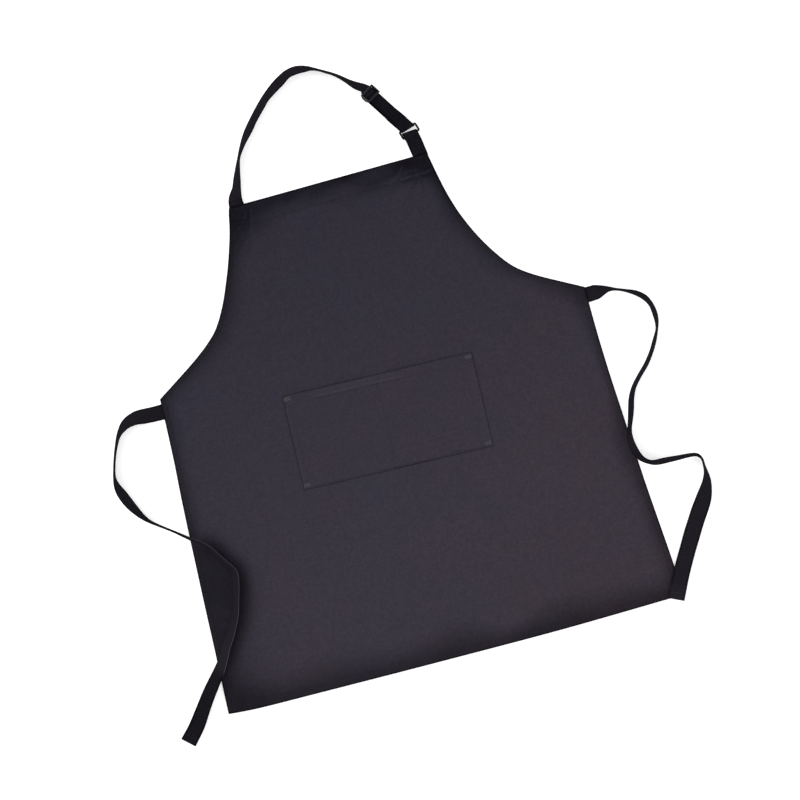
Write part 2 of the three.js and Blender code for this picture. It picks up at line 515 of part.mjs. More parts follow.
// ---------------------------------------------------------------------- ties
function tie(name, i, s, stations) {
  const x = tieRootX[i] + s * TIE_PIVOT_OUT, y = TIE_ROOT_Y[i];
  const all = [[x, y, 0, Z_ON_TABLE], ...stations];
  const f = route(all, s < 0 ? 1 : 1, STRAP_W);
  const strap = band(f, (all.length - 1) * 2, STRAP_W, STRAP_T);
  const hub = new THREE.CylinderGeometry(STRAP_W / 2, STRAP_W / 2, STRAP_T, 32);
  hub.rotateX(Math.PI / 2);
  hub.translate(x, y, Z_ON_TABLE + STRAP_T / 2);
  add(name, union(strap, hub), WEBBING());
  // the row of stitching across the folded end
  const e = f(1 - 0.55 / (all.length - 1));
  const up = new THREE.Vector3().crossVectors(e.along, e.across).normalize();
  const g = new THREE.BoxGeometry(THREAD_W, STRAP_W - 3, THREAD_H);
  g.applyMatrix4(new THREE.Matrix4().makeBasis(e.along, e.across, up)
    .setPosition(e.at.clone().addScaledVector(up, STRAP_T / 2 + GAP + THREAD_H / 2)));
  add(name.replace("tie_", "tie_end_stitch_"), g, THREAD());
}
tie("tie_left", 0, -1, TIE_LEFT_ROUTE);
tie("tie_right", 1, 1, TIE_RIGHT_ROUTE);

export default root;
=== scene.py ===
import math

import bpy
import numpy as np
from mathutils import Matrix, Vector


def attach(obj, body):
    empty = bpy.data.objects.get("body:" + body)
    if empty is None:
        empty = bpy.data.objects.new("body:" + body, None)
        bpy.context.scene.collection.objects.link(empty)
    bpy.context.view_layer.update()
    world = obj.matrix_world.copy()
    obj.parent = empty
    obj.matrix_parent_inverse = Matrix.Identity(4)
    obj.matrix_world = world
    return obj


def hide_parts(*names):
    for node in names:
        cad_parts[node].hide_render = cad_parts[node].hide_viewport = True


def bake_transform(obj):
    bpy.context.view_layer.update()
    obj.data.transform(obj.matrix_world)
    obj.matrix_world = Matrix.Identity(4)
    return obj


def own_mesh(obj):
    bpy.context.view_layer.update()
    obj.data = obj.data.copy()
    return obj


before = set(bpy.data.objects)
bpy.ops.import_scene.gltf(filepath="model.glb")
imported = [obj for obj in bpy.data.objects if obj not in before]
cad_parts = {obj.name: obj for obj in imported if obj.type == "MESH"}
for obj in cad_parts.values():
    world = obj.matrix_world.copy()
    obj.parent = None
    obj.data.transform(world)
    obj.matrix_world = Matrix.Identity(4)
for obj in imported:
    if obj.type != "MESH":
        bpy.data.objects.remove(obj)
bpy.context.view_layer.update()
scene = bpy.context.scene

# ------------------------------------------------------------------ camera
LENS, SENSOR, VIEW_W = 170.0, 36.0, 1.1912
cam_data = bpy.data.cameras.new("camera")
cam_data.lens = LENS
cam_data.sensor_width = SENSOR
cam_data.clip_end = 50
cam_data.dof.use_dof = False
cam = bpy.data.objects.new("camera", cam_data)
cam.location = (0.0196, -0.0925, VIEW_W * LENS / SENSOR)
cam.rotation_euler = (0, 0, math.radians(-14.8))
scene.collection.objects.link(cam)
scene.camera = cam

# ------------------------------------------------ the CAD's own measurements, in mm
ARM_RIGHT = [
  [153.3, 247.9], [154.9, 239.8], [157.9, 223.6], [161.2, 207.4], [164.9, 191.0],
  [169.5, 174.4], [174.9, 157.6], [181.8, 140.3], [189.8, 122.8], [199.3, 104.9],
  [210.8, 86.4], [224.4, 67.5], [236.5, 54.6], [250.5, 43.8], [269.0, 32.2],
  [294.8, 18.1], [328.4, 0.2],
]
ARM_LEFT = [
  [-154.4, 246.5], [-156.6, 239.0], [-159.2, 225.8], [-163.5, 208.4], [-168.7, 191.4],
  [-174.3, 174.4], [-180.4, 157.5], [-187.1, 140.8], [-194.0, 124.1], [-201.8, 107.7],
  [-210.8, 91.6], [-221.6, 76.0], [-236.6, 61.4], [-254.0, 47.5], [-273.1, 34.1],
  [-293.1, 20.9], [-325.6, -0.2],
]
SIDE_RIGHT = [
  [328.4, 0.2], [329.1, -66.4], [331.2, -128.6], [334.7, -191.2], [341.2, -300.7],
  [346.0, -363.5], [350.8, -426.4], [353.2, -480.5],
]
SIDE_LEFT = [
  [-325.6, -0.2], [-329.1, -92.8], [-332.8, -153.4], [-336.9, -244.6],
  [-340.1, -320.9], [-342.3, -381.9], [-346.5, -479.5],
]
BOTTOM = [
  [353.2, -480.5], [269.0, -482.6], [162.0, -484.6], [-13.0, -484.6],
  [-191.0, -483.6], [-311.0, -482.2], [-346.5, -479.5],
]
NECK_ROUTE = [
  [-141.3, 255.8, 14, 0.2], [-136.2, 270.2, 51, 0.2], [-131.4, 285.4, 57, 0.2], [-126.4, 300.6, 68, 0.2],
  [-120.8, 315.4, 78, 0.2], [-113.6, 328.3, 71, 0.2], [-105.5, 340.4, 63, 0.2], [-95.5, 353.0, 54, 0.2],
  [-84.0, 366.8, 56, 0.2], [-71.2, 380.4, 54, 0.2], [-59.7, 391.9, 55, 0.2], [-46.6, 401.8, 49, 0.2],
  [-33.1, 410.7, 44, 0.2], [-18.8, 418.8, 51, 0.2], [-5.0, 421.1, 50, 0.2], [8.2, 419.4, 59, 0.2],
  [18.5, 416.7, 73, 0.2], [27.4, 412.7, 78, 0.2], [36.9, 407.2, 76, 0.2], [46.1, 401.7, 76, 0.2],
  [55.7, 394.4, 73, 0.4], [65.5, 385.3, 68, 0.9], [75.3, 376.3, 55, 2.2],
]
TIE_LEFT_ROUTE = [
  [-356.1, -18.6, 8, 0.2], [-368.3, -18.5, 30, 0.2], [-380.6, -21.8, 39, 0.2], [-390.2, -28.5, 58, 0.2],
  [-398.6, -37.7, 72, 0.2], [-405.2, -50.7, 75, 0.2], [-411.0, -64.7, 78, 0.2], [-416.2, -80.6, 78, 0.2],
  [-419.8, -96.0, 77, 0.2], [-419.2, -109.2, 59, 0.2], [-415.6, -122.4, 43, 0.2], [-409.2, -137.6, 44, 0.2],
  [-401.2, -152.1, 55, 0.2], [-393.4, -163.7, 66, 0.2], [-384.6, -173.2, 76, 0.3], [-372.6, -182.7, 79, 1.2],
  [-357.8, -193.6, 80, 3.2], [-344.9, -203.7, 77, 4.3], [-332.4, -213.7, 75, 4.3], [-320.2, -223.2, 73, 4.3],
  [-310.1, -233.7, 69, 4.3], [-301.3, -248.0, 66, 4.3], [-292.2, -263.1, 63, 4.3], [-283.7, -277.2, 60, 4.3],
  [-286.6, -297.8, 61, 4.3], [-292.0, -317.7, 63, 4.3], [-297.5, -336.0, 62, 4.3], [-306.1, -353.0, 57, 4.3],
  [-315.3, -368.0, 52, 4.3], [-324.9, -382.5, 52, 4.3], [-332.2, -397.4, 53, 4.3], [-341.8, -411.6, 46, 4.3],
  [-355.2, -428.6, 36, 3.9], [-368.8, -445.7, 32, 1.4], [-382.7, -465.2, 23, 0.3], [-397.0, -485.1, 11, 0.2],
  [-415.2, -505.3, 0, 0.2],
]
TIE_RIGHT_ROUTE = [
  [345.1, -10.9, 28, 0.2], [358.1, -11.3, 68, 0.2], [370.8, -14.9, 85, 0.2], [385.1, -20.6, 82, 0.2],
  [398.5, -27.5, 73, 0.2], [410.0, -37.5, 70, 0.2], [416.7, -50.5, 77, 0.2], [418.8, -64.7, 73, 0.2],
  [418.3, -77.7, 79, 0.2], [415.5, -88.2, 87, 0.2], [409.1, -101.4, 78, 0.2], [399.8, -117.5, 78, 0.2],
  [387.2, -134.3, 76, 0.2], [372.5, -149.0, 76, 0.4], [360.0, -163.5, 76, 1.4], [352.4, -178.6, 71, 3.4],
  [347.9, -193.6, 70, 4.3], [343.1, -207.9, 74, 4.3], [338.6, -220.6, 78, 4.3], [335.9, -234.2, 70, 4.3],
  [336.7, -249.0, 62, 4.3], [341.0, -262.4, 64, 4.3], [348.5, -272.1, 74, 4.3], [357.7, -277.2, 74, 3.4],
  [368.3, -279.2, 63, 1.8], [382.0, -280.0, 66, 0.5], [398.8, -280.9, 70, 0.2], [413.7, -281.5, 73, 0.2],
  [425.9, -283.9, 76, 0.2], [431.4, -291.3, 87, 0.2], [431.8, -300.9, 87, 0.2], [432.2, -311.0, 80, 0.2],
  [430.8, -322.9, 63, 0.2], [425.6, -337.1, 43, 0.2], [417.4, -352.3, 12, 0.2], [406.9, -368.1, 0, 0.3],
  [392.0, -391.4, 0, 1.6], [378.2, -414.2, 0, 3.8], [363.6, -439.5, 0, 4.3], [351.6, -462.6, 0, 4.3],
  [341.2, -484.4, 0, 4.3],
]
BIB_LEFT = [-153.2, 249.1]
BIB_RIGHT = [152.6, 253.3]

MM = 0.001
STRAP_W, STRAP_T = 22.8, 1.05
HEM_BIB, HEM_SIDE, HEM_ARM, HEM_BOTTOM = 31.0, 8.0, 7.0, 11.0
POCKET_AT, POCKET_TURN, POCKET_W, POCKET_H = (-6.0, -118.1), math.radians(-1.6), 290.0, 143.6
Z_CLOTH = 1.75  # the panel's upper face where nothing lies under it


# ------------------------------------------------------------------ curve tools
def catmull(points, n):
    """Points along a centripetal Catmull-Rom curve, n to each span."""
    p = np.array(points, float)
    ext = np.vstack([2 * p[0] - p[1], p, 2 * p[-1] - p[-2]])
    out = []
    for i in range(len(p) - 1):
        p0, p1, p2, p3 = ext[i : i + 4]
        d0, d1, d2 = (max(np.linalg.norm(b - a), 1e-6) ** 0.5 for a, b in ((p0, p1), (p1, p2), (p2, p3)))
        t1 = ((p1 - p0) / d0 - (p2 - p0) / (d0 + d1) + (p2 - p1) / d1) * d1
        t2 = ((p2 - p1) / d1 - (p3 - p1) / (d1 + d2) + (p3 - p2) / d2) * d1
        for k in range(n):
            w = k / n
            out.append(p1 + t1 * w + (-3 * p1 + 3 * p2 - 2 * t1 - t2) * w**2 + (2 * p1 - 2 * p2 + t1 + t2) * w**3)
    out.append(p[-1])
    return np.array(out)


def lengths(p):
    return np.concatenate([[0], np.cumsum(np.linalg.norm(np.diff(p, axis=0), axis=1))])


def resample(p, step, *others):
    s = lengths(p)
    n = max(2, int(round(s[-1] / step)) + 1)
    t = np.linspace(0, s[-1], n)
    res = [np.stack([np.interp(t, s, q[:, k]) for k in range(q.shape[1])], 1) for q in (p, *others)]
    return res if others else res[0]


def smooth(a, times):
    a = a.copy()
    for _ in range(times):
        a[1:-1] = (a[:-2] + 2 * a[1:-1] + a[2:]) / 4
    return a


def unit(a):
    return a / np.maximum(np.linalg.norm(a, axis=-1, keepdims=True), 1e-9)


def step_up(x, a, b):
    t = np.clip((x - a) / (b - a), 0, 1)
    return t * t * (3 - 2 * t)


def near(poly, X, Y):
    """Distance from each point to a polyline, and the distance along it."""
    best = np.full(X.shape, 1e9)
    at = np.zeros(X.shape)
    s = lengths(poly[:, :2])
    for i in range(len(poly) - 1):
        ax, ay = poly[i, :2]
        dx, dy = poly[i + 1, 0] - ax, poly[i + 1, 1] - ay
        t = np.clip(((X - ax) * dx + (Y - ay) * dy) / (dx * dx + dy * dy + 1e-12), 0, 1)
        d = np.hypot(X - ax - t * dx, Y - ay - t * dy)
        m = d < best
        best = np.where(m, d, best)
        at = np.where(m, s[i] + t * (s[i + 1] - s[i]), at)
    return best, at


_rng = np.random.default_rng(11)


def waves(scale, count=14):
    """A smooth, repeatable field of about that wavelength in mm, mostly between -1 and 1."""
    ang = _rng.uniform(0, 2 * math.pi, count)
    k = 2 * math.pi / (scale * _rng.uniform(0.75, 1.5, count))
    ph = _rng.uniform(0, 2 * math.pi, count)

    def f(X, Y):
        return sum(np.cos(k[i] * (X * math.cos(ang[i]) + Y * math.sin(ang[i])) + ph[i]) for i in range(count)) / math.sqrt(count)

    return f


# ------------------------------------------------------------------- mesh tools
def mesh_object(name, verts, faces, mat, uv=None, attrs=None, shade_smooth=True):
    me = bpy.data.meshes.new(name)
    me.from_pydata((np.asarray(verts, float) * MM).tolist(), [], faces)
    me.validate()
    if uv is not None:
        layer = me.uv_layers.new(name="UVMap")
        idx = np.zeros(len(me.loops), np.int32)
        me.loops.foreach_get("vertex_index", idx)
        layer.data.foreach_set("uv", np.asarray(uv, np.float32)[idx].ravel())
    for key, val in (attrs or {}).items():
        me.attributes.new(key, "FLOAT", "POINT").data.foreach_set("value", np.asarray(val, np.float32).ravel())
    if shade_smooth:
        me.polygons.foreach_set("use_smooth", np.ones(len(me.polygons), bool))
    me.materials.append(mat)
    me.update()
    o = bpy.data.objects.new(name, me)
    scene.collection.objects.link(o)
    return o


def ribbon(name, P, A, mat, width=STRAP_W, thick=STRAP_T, cup=0.0, u0=0.0, edge_wave=0.0, lighten_and_highlight=None):
    """Woven tape along centre points P with unit across vectors A."""
    n = len(P)
    T = unit(np.gradient(P, axis=0))
    U = unit(np.cross(T, A))
    s = lengths(P)
    thick = np.broadcast_to(np.asarray(thick, float), (n,))
    cup = np.broadcast_to(np.asarray(cup, float), (n,))
    width = np.broadcast_to(np.asarray(width, float), (n,))
    v = np.sin(np.linspace(-math.pi / 2, math.pi / 2, 13))
    h = np.sqrt(np.clip(1 - np.abs(v) ** 8, 0, 1))
    ribs = 0.05 * np.cos(v * math.pi * 7)
    top = [(vv, hh, 1, r) for vv, hh, r in zip(v, h, ribs)]
    low = [(vv, hh, -1, r) for vv, hh, r in zip(v[-2:0:-1], h[-2:0:-1], ribs[-2:0:-1])]
    prof = top + low
    m = len(prof)
    verts, uv = np.zeros((n, m, 3)), np.zeros((n, m, 2))
    wob = edge_wave * np.sin(s / 9.0) * np.sin(s / 23.0 + 1)
    for j, (vv, hh, sg, r) in enumerate(prof):
        off = vv * width / 2 * (1 + wob / width)
        up = sg * (thick / 2 * hh + r * hh) + cup * (vv * vv - 0.4)
        verts[:, j] = P + A * np.reshape(off, (-1, 1)) + U * up[:, None]
        uv[:, j, 0] = (s + u0) * MM
        uv[:, j, 1] = vv * width / 2 * MM
    faces = []
    for i in range(n - 1):
        a, b = i * m, (i + 1) * m
        for j in range(m):
            k = (j + 1) % m
            faces.append((a + j, a + k, b + k, b + j))
    faces.append(tuple(range(m))[::-1])
    faces.append(tuple(range((n - 1) * m, n * m)))
    # painted light from the caller: a lighter face, and a painted highlight along the upper selvedge (rim)
    lightened, selvedge_highlight = lighten_and_highlight(s) if lighten_and_highlight else (0 * s, 0 * s)
    rim = step_up(np.array([q[0] for q in prof]), 0.86, 0.96)
    attrs = {"lightened": np.repeat(lightened[:, None], m, 1), "selvedge_highlight": selvedge_highlight[:, None] * rim[None, :]}
    o = mesh_object(name, verts.reshape(-1, 3), faces, mat, uv.reshape(-1, 2), attrs)
    facing_out(o)
    return o


def facing_out(o):
    import bmesh

    bm = bmesh.new()
    bm.from_mesh(o.data)
    bmesh.ops.recalc_face_normals(bm, faces=bm.faces)
    bm.to_mesh(o.data)
    bm.free()


def stitches(name, path, z, mat, pitch=3.3, length=2.7, r=0.3, sink=0.1, normal=None):
    """Separate stitches of thread along a path. z is a height function, or None when the path is in space."""
    p = np.asarray(path, float)
    s = lengths(p)
    count = max(1, int(s[-1] // pitch))
    gap = (s[-1] - count * pitch) / 2
    verts, faces = [], []
    rings, sides = 7, 6
    for i in range(count):
        c = gap + (i + 0.5) * pitch
        t = np.linspace(c - length / 2, c + length / 2, rings)
        q = np.stack([np.interp(t, s, p[:, k]) for k in range(p.shape[1])], 1)
        if z is not None:
            q = np.c_[q[:, 0], q[:, 1], z(q[:, 0], q[:, 1])]
        w = np.linspace(0, 1, rings)
        arch = np.sin(math.pi * w)
        along = unit((q[-1] - q[0])[None])[0]
        up = np.array([0.0, 0.0, 1.0]) if normal is None else np.asarray(normal, float)
        side = unit(np.cross(up, along)[None])[0]
        q = q + up * ((arch[:, None]) * r * 0.9 - sink)
        rad = r * (0.35 + 0.65 * np.sqrt(arch))
        base = len(verts)
        for k in range(rings):
            for a in range(sides):
                f = 2 * math.pi * a / sides
                verts.append(q[k] + side * math.cos(f) * rad[k] + up * math.sin(f) * rad[k] * 0.8)
        for k in range(rings - 1):
            for a in range(sides):
                b = (a + 1) % sides
                x = base + k * sides
                faces.append((x + a, x + b, x + sides + b, x + sides + a))
        faces.append(tuple(base + a for a in range(sides))[::-1])
        faces.append(tuple(base + (rings - 1) * sides + a for a in range(sides)))
    o = mesh_object(name, verts, faces, mat)
    facing_out(o)
    return o


# -------------------------------------------------------------------- materials
def lin(r, g, b):
    f = lambda c: c / 255 / 12.92 if c <= 10.3 else ((c / 255 + 0.055) / 1.055) ** 2.4
    return (f(r), f(g), f(b))


class Nodes:
    def __init__(self, name):
        self.mat = bpy.data.materials.new(name)
        self.mat.use_nodes = True
        self.nt = self.mat.node_tree
        self.bsdf = self.nt.nodes["Principled BSDF"]

    def new(self, kind, **inputs):
        n = self.nt.nodes.new(kind)
        for k, v in inputs.items():
            self.put(n.inputs[k.replace("_", " ")] if k.replace("_", " ") in n.inputs else n.inputs[k], v)
        return n

    def put(self, socket, v):
        if isinstance(v, bpy.types.NodeSocket):
            self.nt.links.new(v, socket)
        else:
            socket.default_value = v

    def math(self, op, a, b=0.0, clamp=False):
        n = self.nt.nodes.new("ShaderNodeMath")
        n.operation = op
        n.use_clamp = clamp
        self.put(n.inputs[0], a)
        self.put(n.inputs[1], b)
        return n.outputs[0]

    def mix(self, f, a, b, how="MIX"):
        n = self.nt.nodes.new("ShaderNodeMix")
        n.data_type = "RGBA"
        n.blend_type = how
        self.put(n.inputs[0], f)
        for i, v in ((6, a), (7, b)):
            self.put(n.inputs[i], v if isinstance(v, bpy.types.NodeSocket) else (*v, 1.0))
        return n.outputs[2]

    def span(self, v, a, b, c, d):
        n = self.nt.nodes.new("ShaderNodeMapRange")
        for i, x in enumerate((v, a, b, c, d)):
            self.put(n.inputs[i], x)
        return n.outputs[0]

    def noise(self, vec, scale, detail=2.0, rough=0.5):
        n = self.nt.nodes.new("ShaderNodeTexNoise")
        self.put(n.inputs["Vector"], vec)
        n.inputs["Scale"].default_value = scale
        n.inputs["Detail"].default_value = detail
        n.inputs["Roughness"].default_value = rough
        return n.outputs["Fac"]

    def scaled(self, vec, x, y, z, turn=0.0):
        n = self.nt.nodes.new("ShaderNodeMapping")
        self.put(n.inputs["Vector"], vec)
        n.inputs["Scale"].default_value = (x, y, z)
        n.inputs["Rotation"].default_value = (0, 0, turn)
        return n.outputs["Vector"]

    def object_coords(self):
        return self.nt.nodes.new("ShaderNodeTexCoord").outputs["Object"]

    def uv_coords(self):
        return self.nt.nodes.new("ShaderNodeTexCoord").outputs["UV"]

    def attr(self, name):
        n = self.nt.nodes.new("ShaderNodeAttribute")
        n.attribute_name = name
        return n.outputs["Fac"]

    def wave(self, vec, scale, direction="X", distortion=0.0):
        n = self.nt.nodes.new("ShaderNodeTexWave")
        n.wave_type = "BANDS"
        n.bands_direction = direction
        self.put(n.inputs["Vector"], vec)
        n.inputs["Scale"].default_value = scale
        n.inputs["Distortion"].default_value = distortion
        return n.outputs["Fac"]

    def bump(self, height, strength, distance, normal=None):
        n = self.nt.nodes.new("ShaderNodeBump")
        n.inputs["Strength"].default_value = strength
        n.inputs["Distance"].default_value = distance
        self.put(n.inputs["Height"], height)
        if normal is not None:
            self.put(n.inputs["Normal"], normal)
        return n.outputs["Normal"]

    def finish(self, color, rough, normal=None, **constants):
        self.put(self.bsdf.inputs["Base Color"], color)
        self.put(self.bsdf.inputs["Roughness"], rough)
        if normal is not None:
            self.put(self.bsdf.inputs["Normal"], normal)
        for k, v in constants.items():
            self.bsdf.inputs[k.replace("_", " ")].default_value = v
        return self.mat


GAIN = 0.80  # surface colour for a wanted brightness under the studio light


def g(*rgb):
    return tuple(c * GAIN for c in lin(*rgb))


def cloth_material(name="apron_cloth", lift=1.0):
    """Brushed cotton twill: yarn streaks both ways, a fine diagonal rib, slow blue and brown patches, and painted shade
    along the hems and edges (painted highlight where the 'shade' attribute is below nought).
    """
    k = Nodes(name)
    p = k.object_coords()
    tone = k.attr("tone")
    col = k.mix(tone, g(47.4 * lift, 45.6 * lift, 55.6 * lift), g(60.6 * lift, 56.8 * lift, 66.4 * lift))
    col = k.mix(k.attr("warm"), col, k.mix(1.0, col, (1.055, 1.0, 0.985), "MULTIPLY"), "MIX")
    patch = k.noise(p, 6.0, 2.0, 0.5)
    col = k.mix(k.span(patch, 0.35, 0.65, 0.0, 1.0), col, k.mix(1.0, col, (1.045, 0.985, 0.955), "MULTIPLY"), "MIX")
    patch2 = k.noise(k.scaled(p, 1, 1, 1, 0.7), 13.0, 2.0, 0.5)
    col = k.mix(k.span(patch2, 0.4, 0.7, 0.0, 1.0), col, k.mix(1.0, col, (0.955, 1.0, 1.035), "MULTIPLY"), "MIX")
    warp = k.noise(k.scaled(p, 900, 45, 900), 1.0, 2.0, 0.6)
    weft = k.noise(k.scaled(p, 45, 900, 900), 1.0, 2.0, 0.6)
    speck = k.noise(p, 520.0, 3.0, 0.65)
    tex = k.math("ADD", k.span(warp, 0.3, 0.7, -0.05, 0.05), k.span(weft, 0.3, 0.7, -0.05, 0.05))
    tex = k.math("ADD", tex, k.span(speck, 0.3, 0.7, -0.075, 0.075))
    rib = k.wave(k.scaled(p, 1, 1, 1, math.radians(63)), 260.0, "X", 0.0)
    tex = k.math("ADD", tex, k.span(rib, 0.0, 1.0, -0.03, 0.03))
    # the nap lies unevenly: faint mottling a few millimetres across, a little blue or brown
    mottle = k.noise(p, 230.0, 2.0, 0.6)
    tex = k.math("ADD", tex, k.span(mottle, 0.3, 0.7, -0.10, 0.10))
    hue = k.noise(k.scaled(p, 1, 1, 1, 0.3), 42.0, 1.0, 0.5)
    col = k.mix(k.span(hue, 0.35, 0.65, 0.0, 1.0), k.mix(1.0, col, (0.985, 1.0, 1.015), "MULTIPLY"), k.mix(1.0, col, (1.018, 0.997, 0.99), "MULTIPLY"), "MIX")
    # painted shade from the 'shade' attribute: edge and hem bands, the left tie's shadow, fold lines; below nought it
    # is painted highlight
    dark = k.math("MULTIPLY", k.attr("shade"), k.span(k.noise(p, 22.0, 2.0, 0.5), 0.3, 0.7, 0.53, 0.63))
    keep = k.math("SUBTRACT", 1.0, dark)
    amount = k.math("MULTIPLY", k.math("ADD", 1.0, tex), keep)
    comb = k.nt.nodes.new("ShaderNodeCombineColor")
    for i in range(3):
        k.put(comb.inputs[i], amount)
    col = k.mix(1.0, col, comb.outputs[0], "MULTIPLY")
    height = k.math("ADD", k.math("MULTIPLY", rib, 0.5), k.math("MULTIPLY", k.math("ADD", warp, weft), 0.5))
    n = k.bump(k.math("ADD", height, k.math("MULTIPLY", speck, 0.6)), 0.35, 0.00035)
    rough = k.span(speck, 0.3, 0.7, 0.82, 0.94)
    return k.finish(col, rough, n, Specular_IOR_Level=0.0, Sheen_Weight=0.0, Sheen_Roughness=0.45)


def webbing_material(name, face, edge):
    """Flat woven tape: lengthwise ribs, fine cross yarns, plain selvedges."""
    k = Nodes(name)
    uv = k.uv_coords()
    sep = k.nt.nodes.new("ShaderNodeSeparateXYZ")
    k.put(sep.inputs[0], uv)
    across = k.math("ABSOLUTE", sep.outputs[1])
    selv = k.span(across, 0.0085, 0.0100, 0.0, 1.0)
    chev = k.math("PINGPONG", sep.outputs[1], 0.0029)
    c2 = k.nt.nodes.new("ShaderNodeCombineXYZ")
    k.put(c2.inputs[0], k.math("ADD", sep.outputs[0], chev))
    twill = k.wave(c2.outputs[0], 330.0, "X")
    ribs = k.wave(uv, 300.0, "Y")
    fuzz = k.noise(uv, 700.0, 3.0, 0.6)
    patch = k.noise(uv, 28.0, 2.0, 0.5)
    f = k.math("ADD", k.span(twill, 0, 1, -0.13, 0.13), k.span(fuzz, 0.3, 0.7, -0.14, 0.14))
    f = k.math("ADD", f, k.span(patch, 0.3, 0.7, -0.10, 0.10))
    f = k.math("ADD", f, k.span(k.noise(uv, 280.0, 2.0, 0.6), 0.3, 0.7, -0.26, 0.26))
    col = k.mix(selv, g(*face), g(*edge))
    comb = k.nt.nodes.new("ShaderNodeCombineColor")
    amount = k.math("ADD", 1.0, f)
    for i in range(3):
        k.put(comb.inputs[i], amount)
    col = k.mix(1.0, col, comb.outputs[0], "MULTIPLY")
    # painted light: a painted highlight along an upper selvedge, and the face painted a little lighter
    col = k.mix(k.attr("lightened"), col, g(45, 42, 49))
    col = k.mix(k.math("MULTIPLY", k.attr("selvedge_highlight"), k.span(fuzz, 0.3, 0.7, 0.75, 1.0)), col, g(80, 76, 85))
    h = k.math("ADD", k.math("MULTIPLY", twill, 0.7), k.math("MULTIPLY", ribs, 0.3))
    n = k.bump(k.math("ADD", h, k.math("MULTIPLY", fuzz, 0.5)), 0.5, 0.0004)
    return k.finish(col, k.span(fuzz, 0.3, 0.7, 0.62, 0.8), n, Specular_IOR_Level=0.0, Sheen_Weight=0.0, Sheen_Roughness=0.4)


def thread_material(name, colour):
    """Twisted sewing thread."""
    k = Nodes(name)
    p = k.object_coords()
    ply = k.wave(k.scaled(p, 1, 1, 1, 0.6), 900.0, "X")
    fuzz = k.noise(p, 1500.0, 2.0, 0.6)
    f = k.math("ADD", k.span(ply, 0, 1, 0.86, 1.06), k.span(fuzz, 0.3, 0.7, -0.08, 0.08))
    comb = k.nt.nodes.new("ShaderNodeCombineColor")
    for i in range(3):
        k.put(comb.inputs[i], f)
    col = k.mix(1.0, g(*colour), comb.outputs[0], "MULTIPLY")
    return k.finish(col, k.span(fuzz, 0.3, 0.7, 0.5, 0.68), k.bump(ply, 0.4, 0.0002), Specular_IOR_Level=0.03, Sheen_Weight=0.0)


def plastic_material(name, gloss=0.24):
    """Moulded acetal: fine spark texture, rubbed smoother in patches."""
    k = Nodes(name)
    p = k.object_coords()
    grain = k.noise(p, 2600.0, 3.0, 0.6)
    rub = k.noise(p, 160.0, 2.0, 0.5)
    col = k.mix(rub, g(15, 15, 17), g(23, 23, 26))
    rough = k.math("ADD", k.span(rub, 0.3, 0.7, 0.24, 0.42), k.span(grain, 0.3, 0.7, -0.05, 0.05))
    return k.finish(col, rough, k.bump(grain, 0.12, 0.0002), Specular_IOR_Level=gloss)


CLOTH = cloth_material()
POCKET_CLOTH = cloth_material("pocket_cloth", 1.0)
WEB = webbing_material("webbing", (31, 29, 34.5), (18, 16.5, 20))
# darker copies of the same webbing, as painted shade: the turns in the buckle, the ring's tab, the left tie, and the
# layers under the strap
WEB_TURN = webbing_material("webbing_turn_shaded", (23.5, 22.5, 28), (14, 13, 16))
WEB_TAB = webbing_material("webbing_tab_shaded", (26.5, 25, 31), (15, 14, 17))
WEB_LEFT = webbing_material("webbing_left_tie_shaded", (27.5, 26, 30.5), (16, 15, 18))
WEB_BACK = webbing_material("webbing_under_shaded", (21, 20, 24), (14, 13, 16))
# one thread at three brightnesses: THREAD darker as painted shade in the hem bands, TACKS lighter as a painted
# highlight on the bartacks and the pocket's mouth row
THREAD = thread_material("thread_rows_shaded", (42, 40, 47))
POCKET_THREAD = thread_material("thread_pocket", (60, 57, 65))
TACKS = thread_material("thread_tacks_highlit", (79, 76, 85))
PLASTIC = plastic_material("buckle_plastic")
RING_PLASTIC = plastic_material("ring_plastic", 0.14)

# ---------------------------------------------------------------- panel outline
arm_r = catmull(ARM_RIGHT, 8)
arm_l = catmull(ARM_LEFT, 8)
side_r = catmull(SIDE_RIGHT, 8)
side_l = catmull(SIDE_LEFT, 8)
bottom = catmull(BOTTOM, 8)
bib = np.array([BIB_LEFT, BIB_RIGHT], float)


def bib_y(x):
    return BIB_LEFT[1] + (BIB_RIGHT[1] - BIB_LEFT[1]) * (x - BIB_LEFT[0]) / (BIB_RIGHT[0] - BIB_LEFT[0])


edge_l = np.vstack([[BIB_LEFT], arm_l, side_l[1:]])[::-1]  # bottom to top
edge_r = np.vstack([[BIB_RIGHT], arm_r, side_r[1:]])[::-1]
xl_at = lambda y: np.interp(y, edge_l[:, 1], edge_l[:, 0])
xr_at = lambda y: np.interp(y, edge_r[:, 1], edge_r[:, 0])

NECK_X = -141.7
TAB_FOOT = (141.8, 253.9)
TIE_ROOT_Y = (-19.5, -12.0)
TIE_ROOT_X = (float(xl_at(TIE_ROOT_Y[0])), float(xr_at(TIE_ROOT_Y[1])))
TAIL_BIB, TAIL_TIE = 26.4, 17.4

# the routes of the free tapes, dense
def tape_frames(stations, side, width, thick, n=6):
    pts, leans = [], []
    for x, y, lean, low in stations:
        a = math.radians(lean)
        pts.append((x, y, low + width / 2 * math.sin(a) + thick / 2 * math.cos(a)))
        leans.append(lean)
    P = catmull(pts, n)
    L = smooth(np.interp(np.linspace(0, len(leans) - 1, len(P)), np.arange(len(leans)), leans), 6)
    T = unit(np.gradient(P, axis=0))
    left = unit(np.stack([-T[:, 1], T[:, 0], np.zeros(len(T))], 1)) * side
    a = np.radians(L)[:, None]
    A = left * np.cos(a) + np.array([0, 0, 1.0]) * np.sin(a)
    A = unit(A - T * np.sum(A * T, 1, keepdims=True))
    return P, A


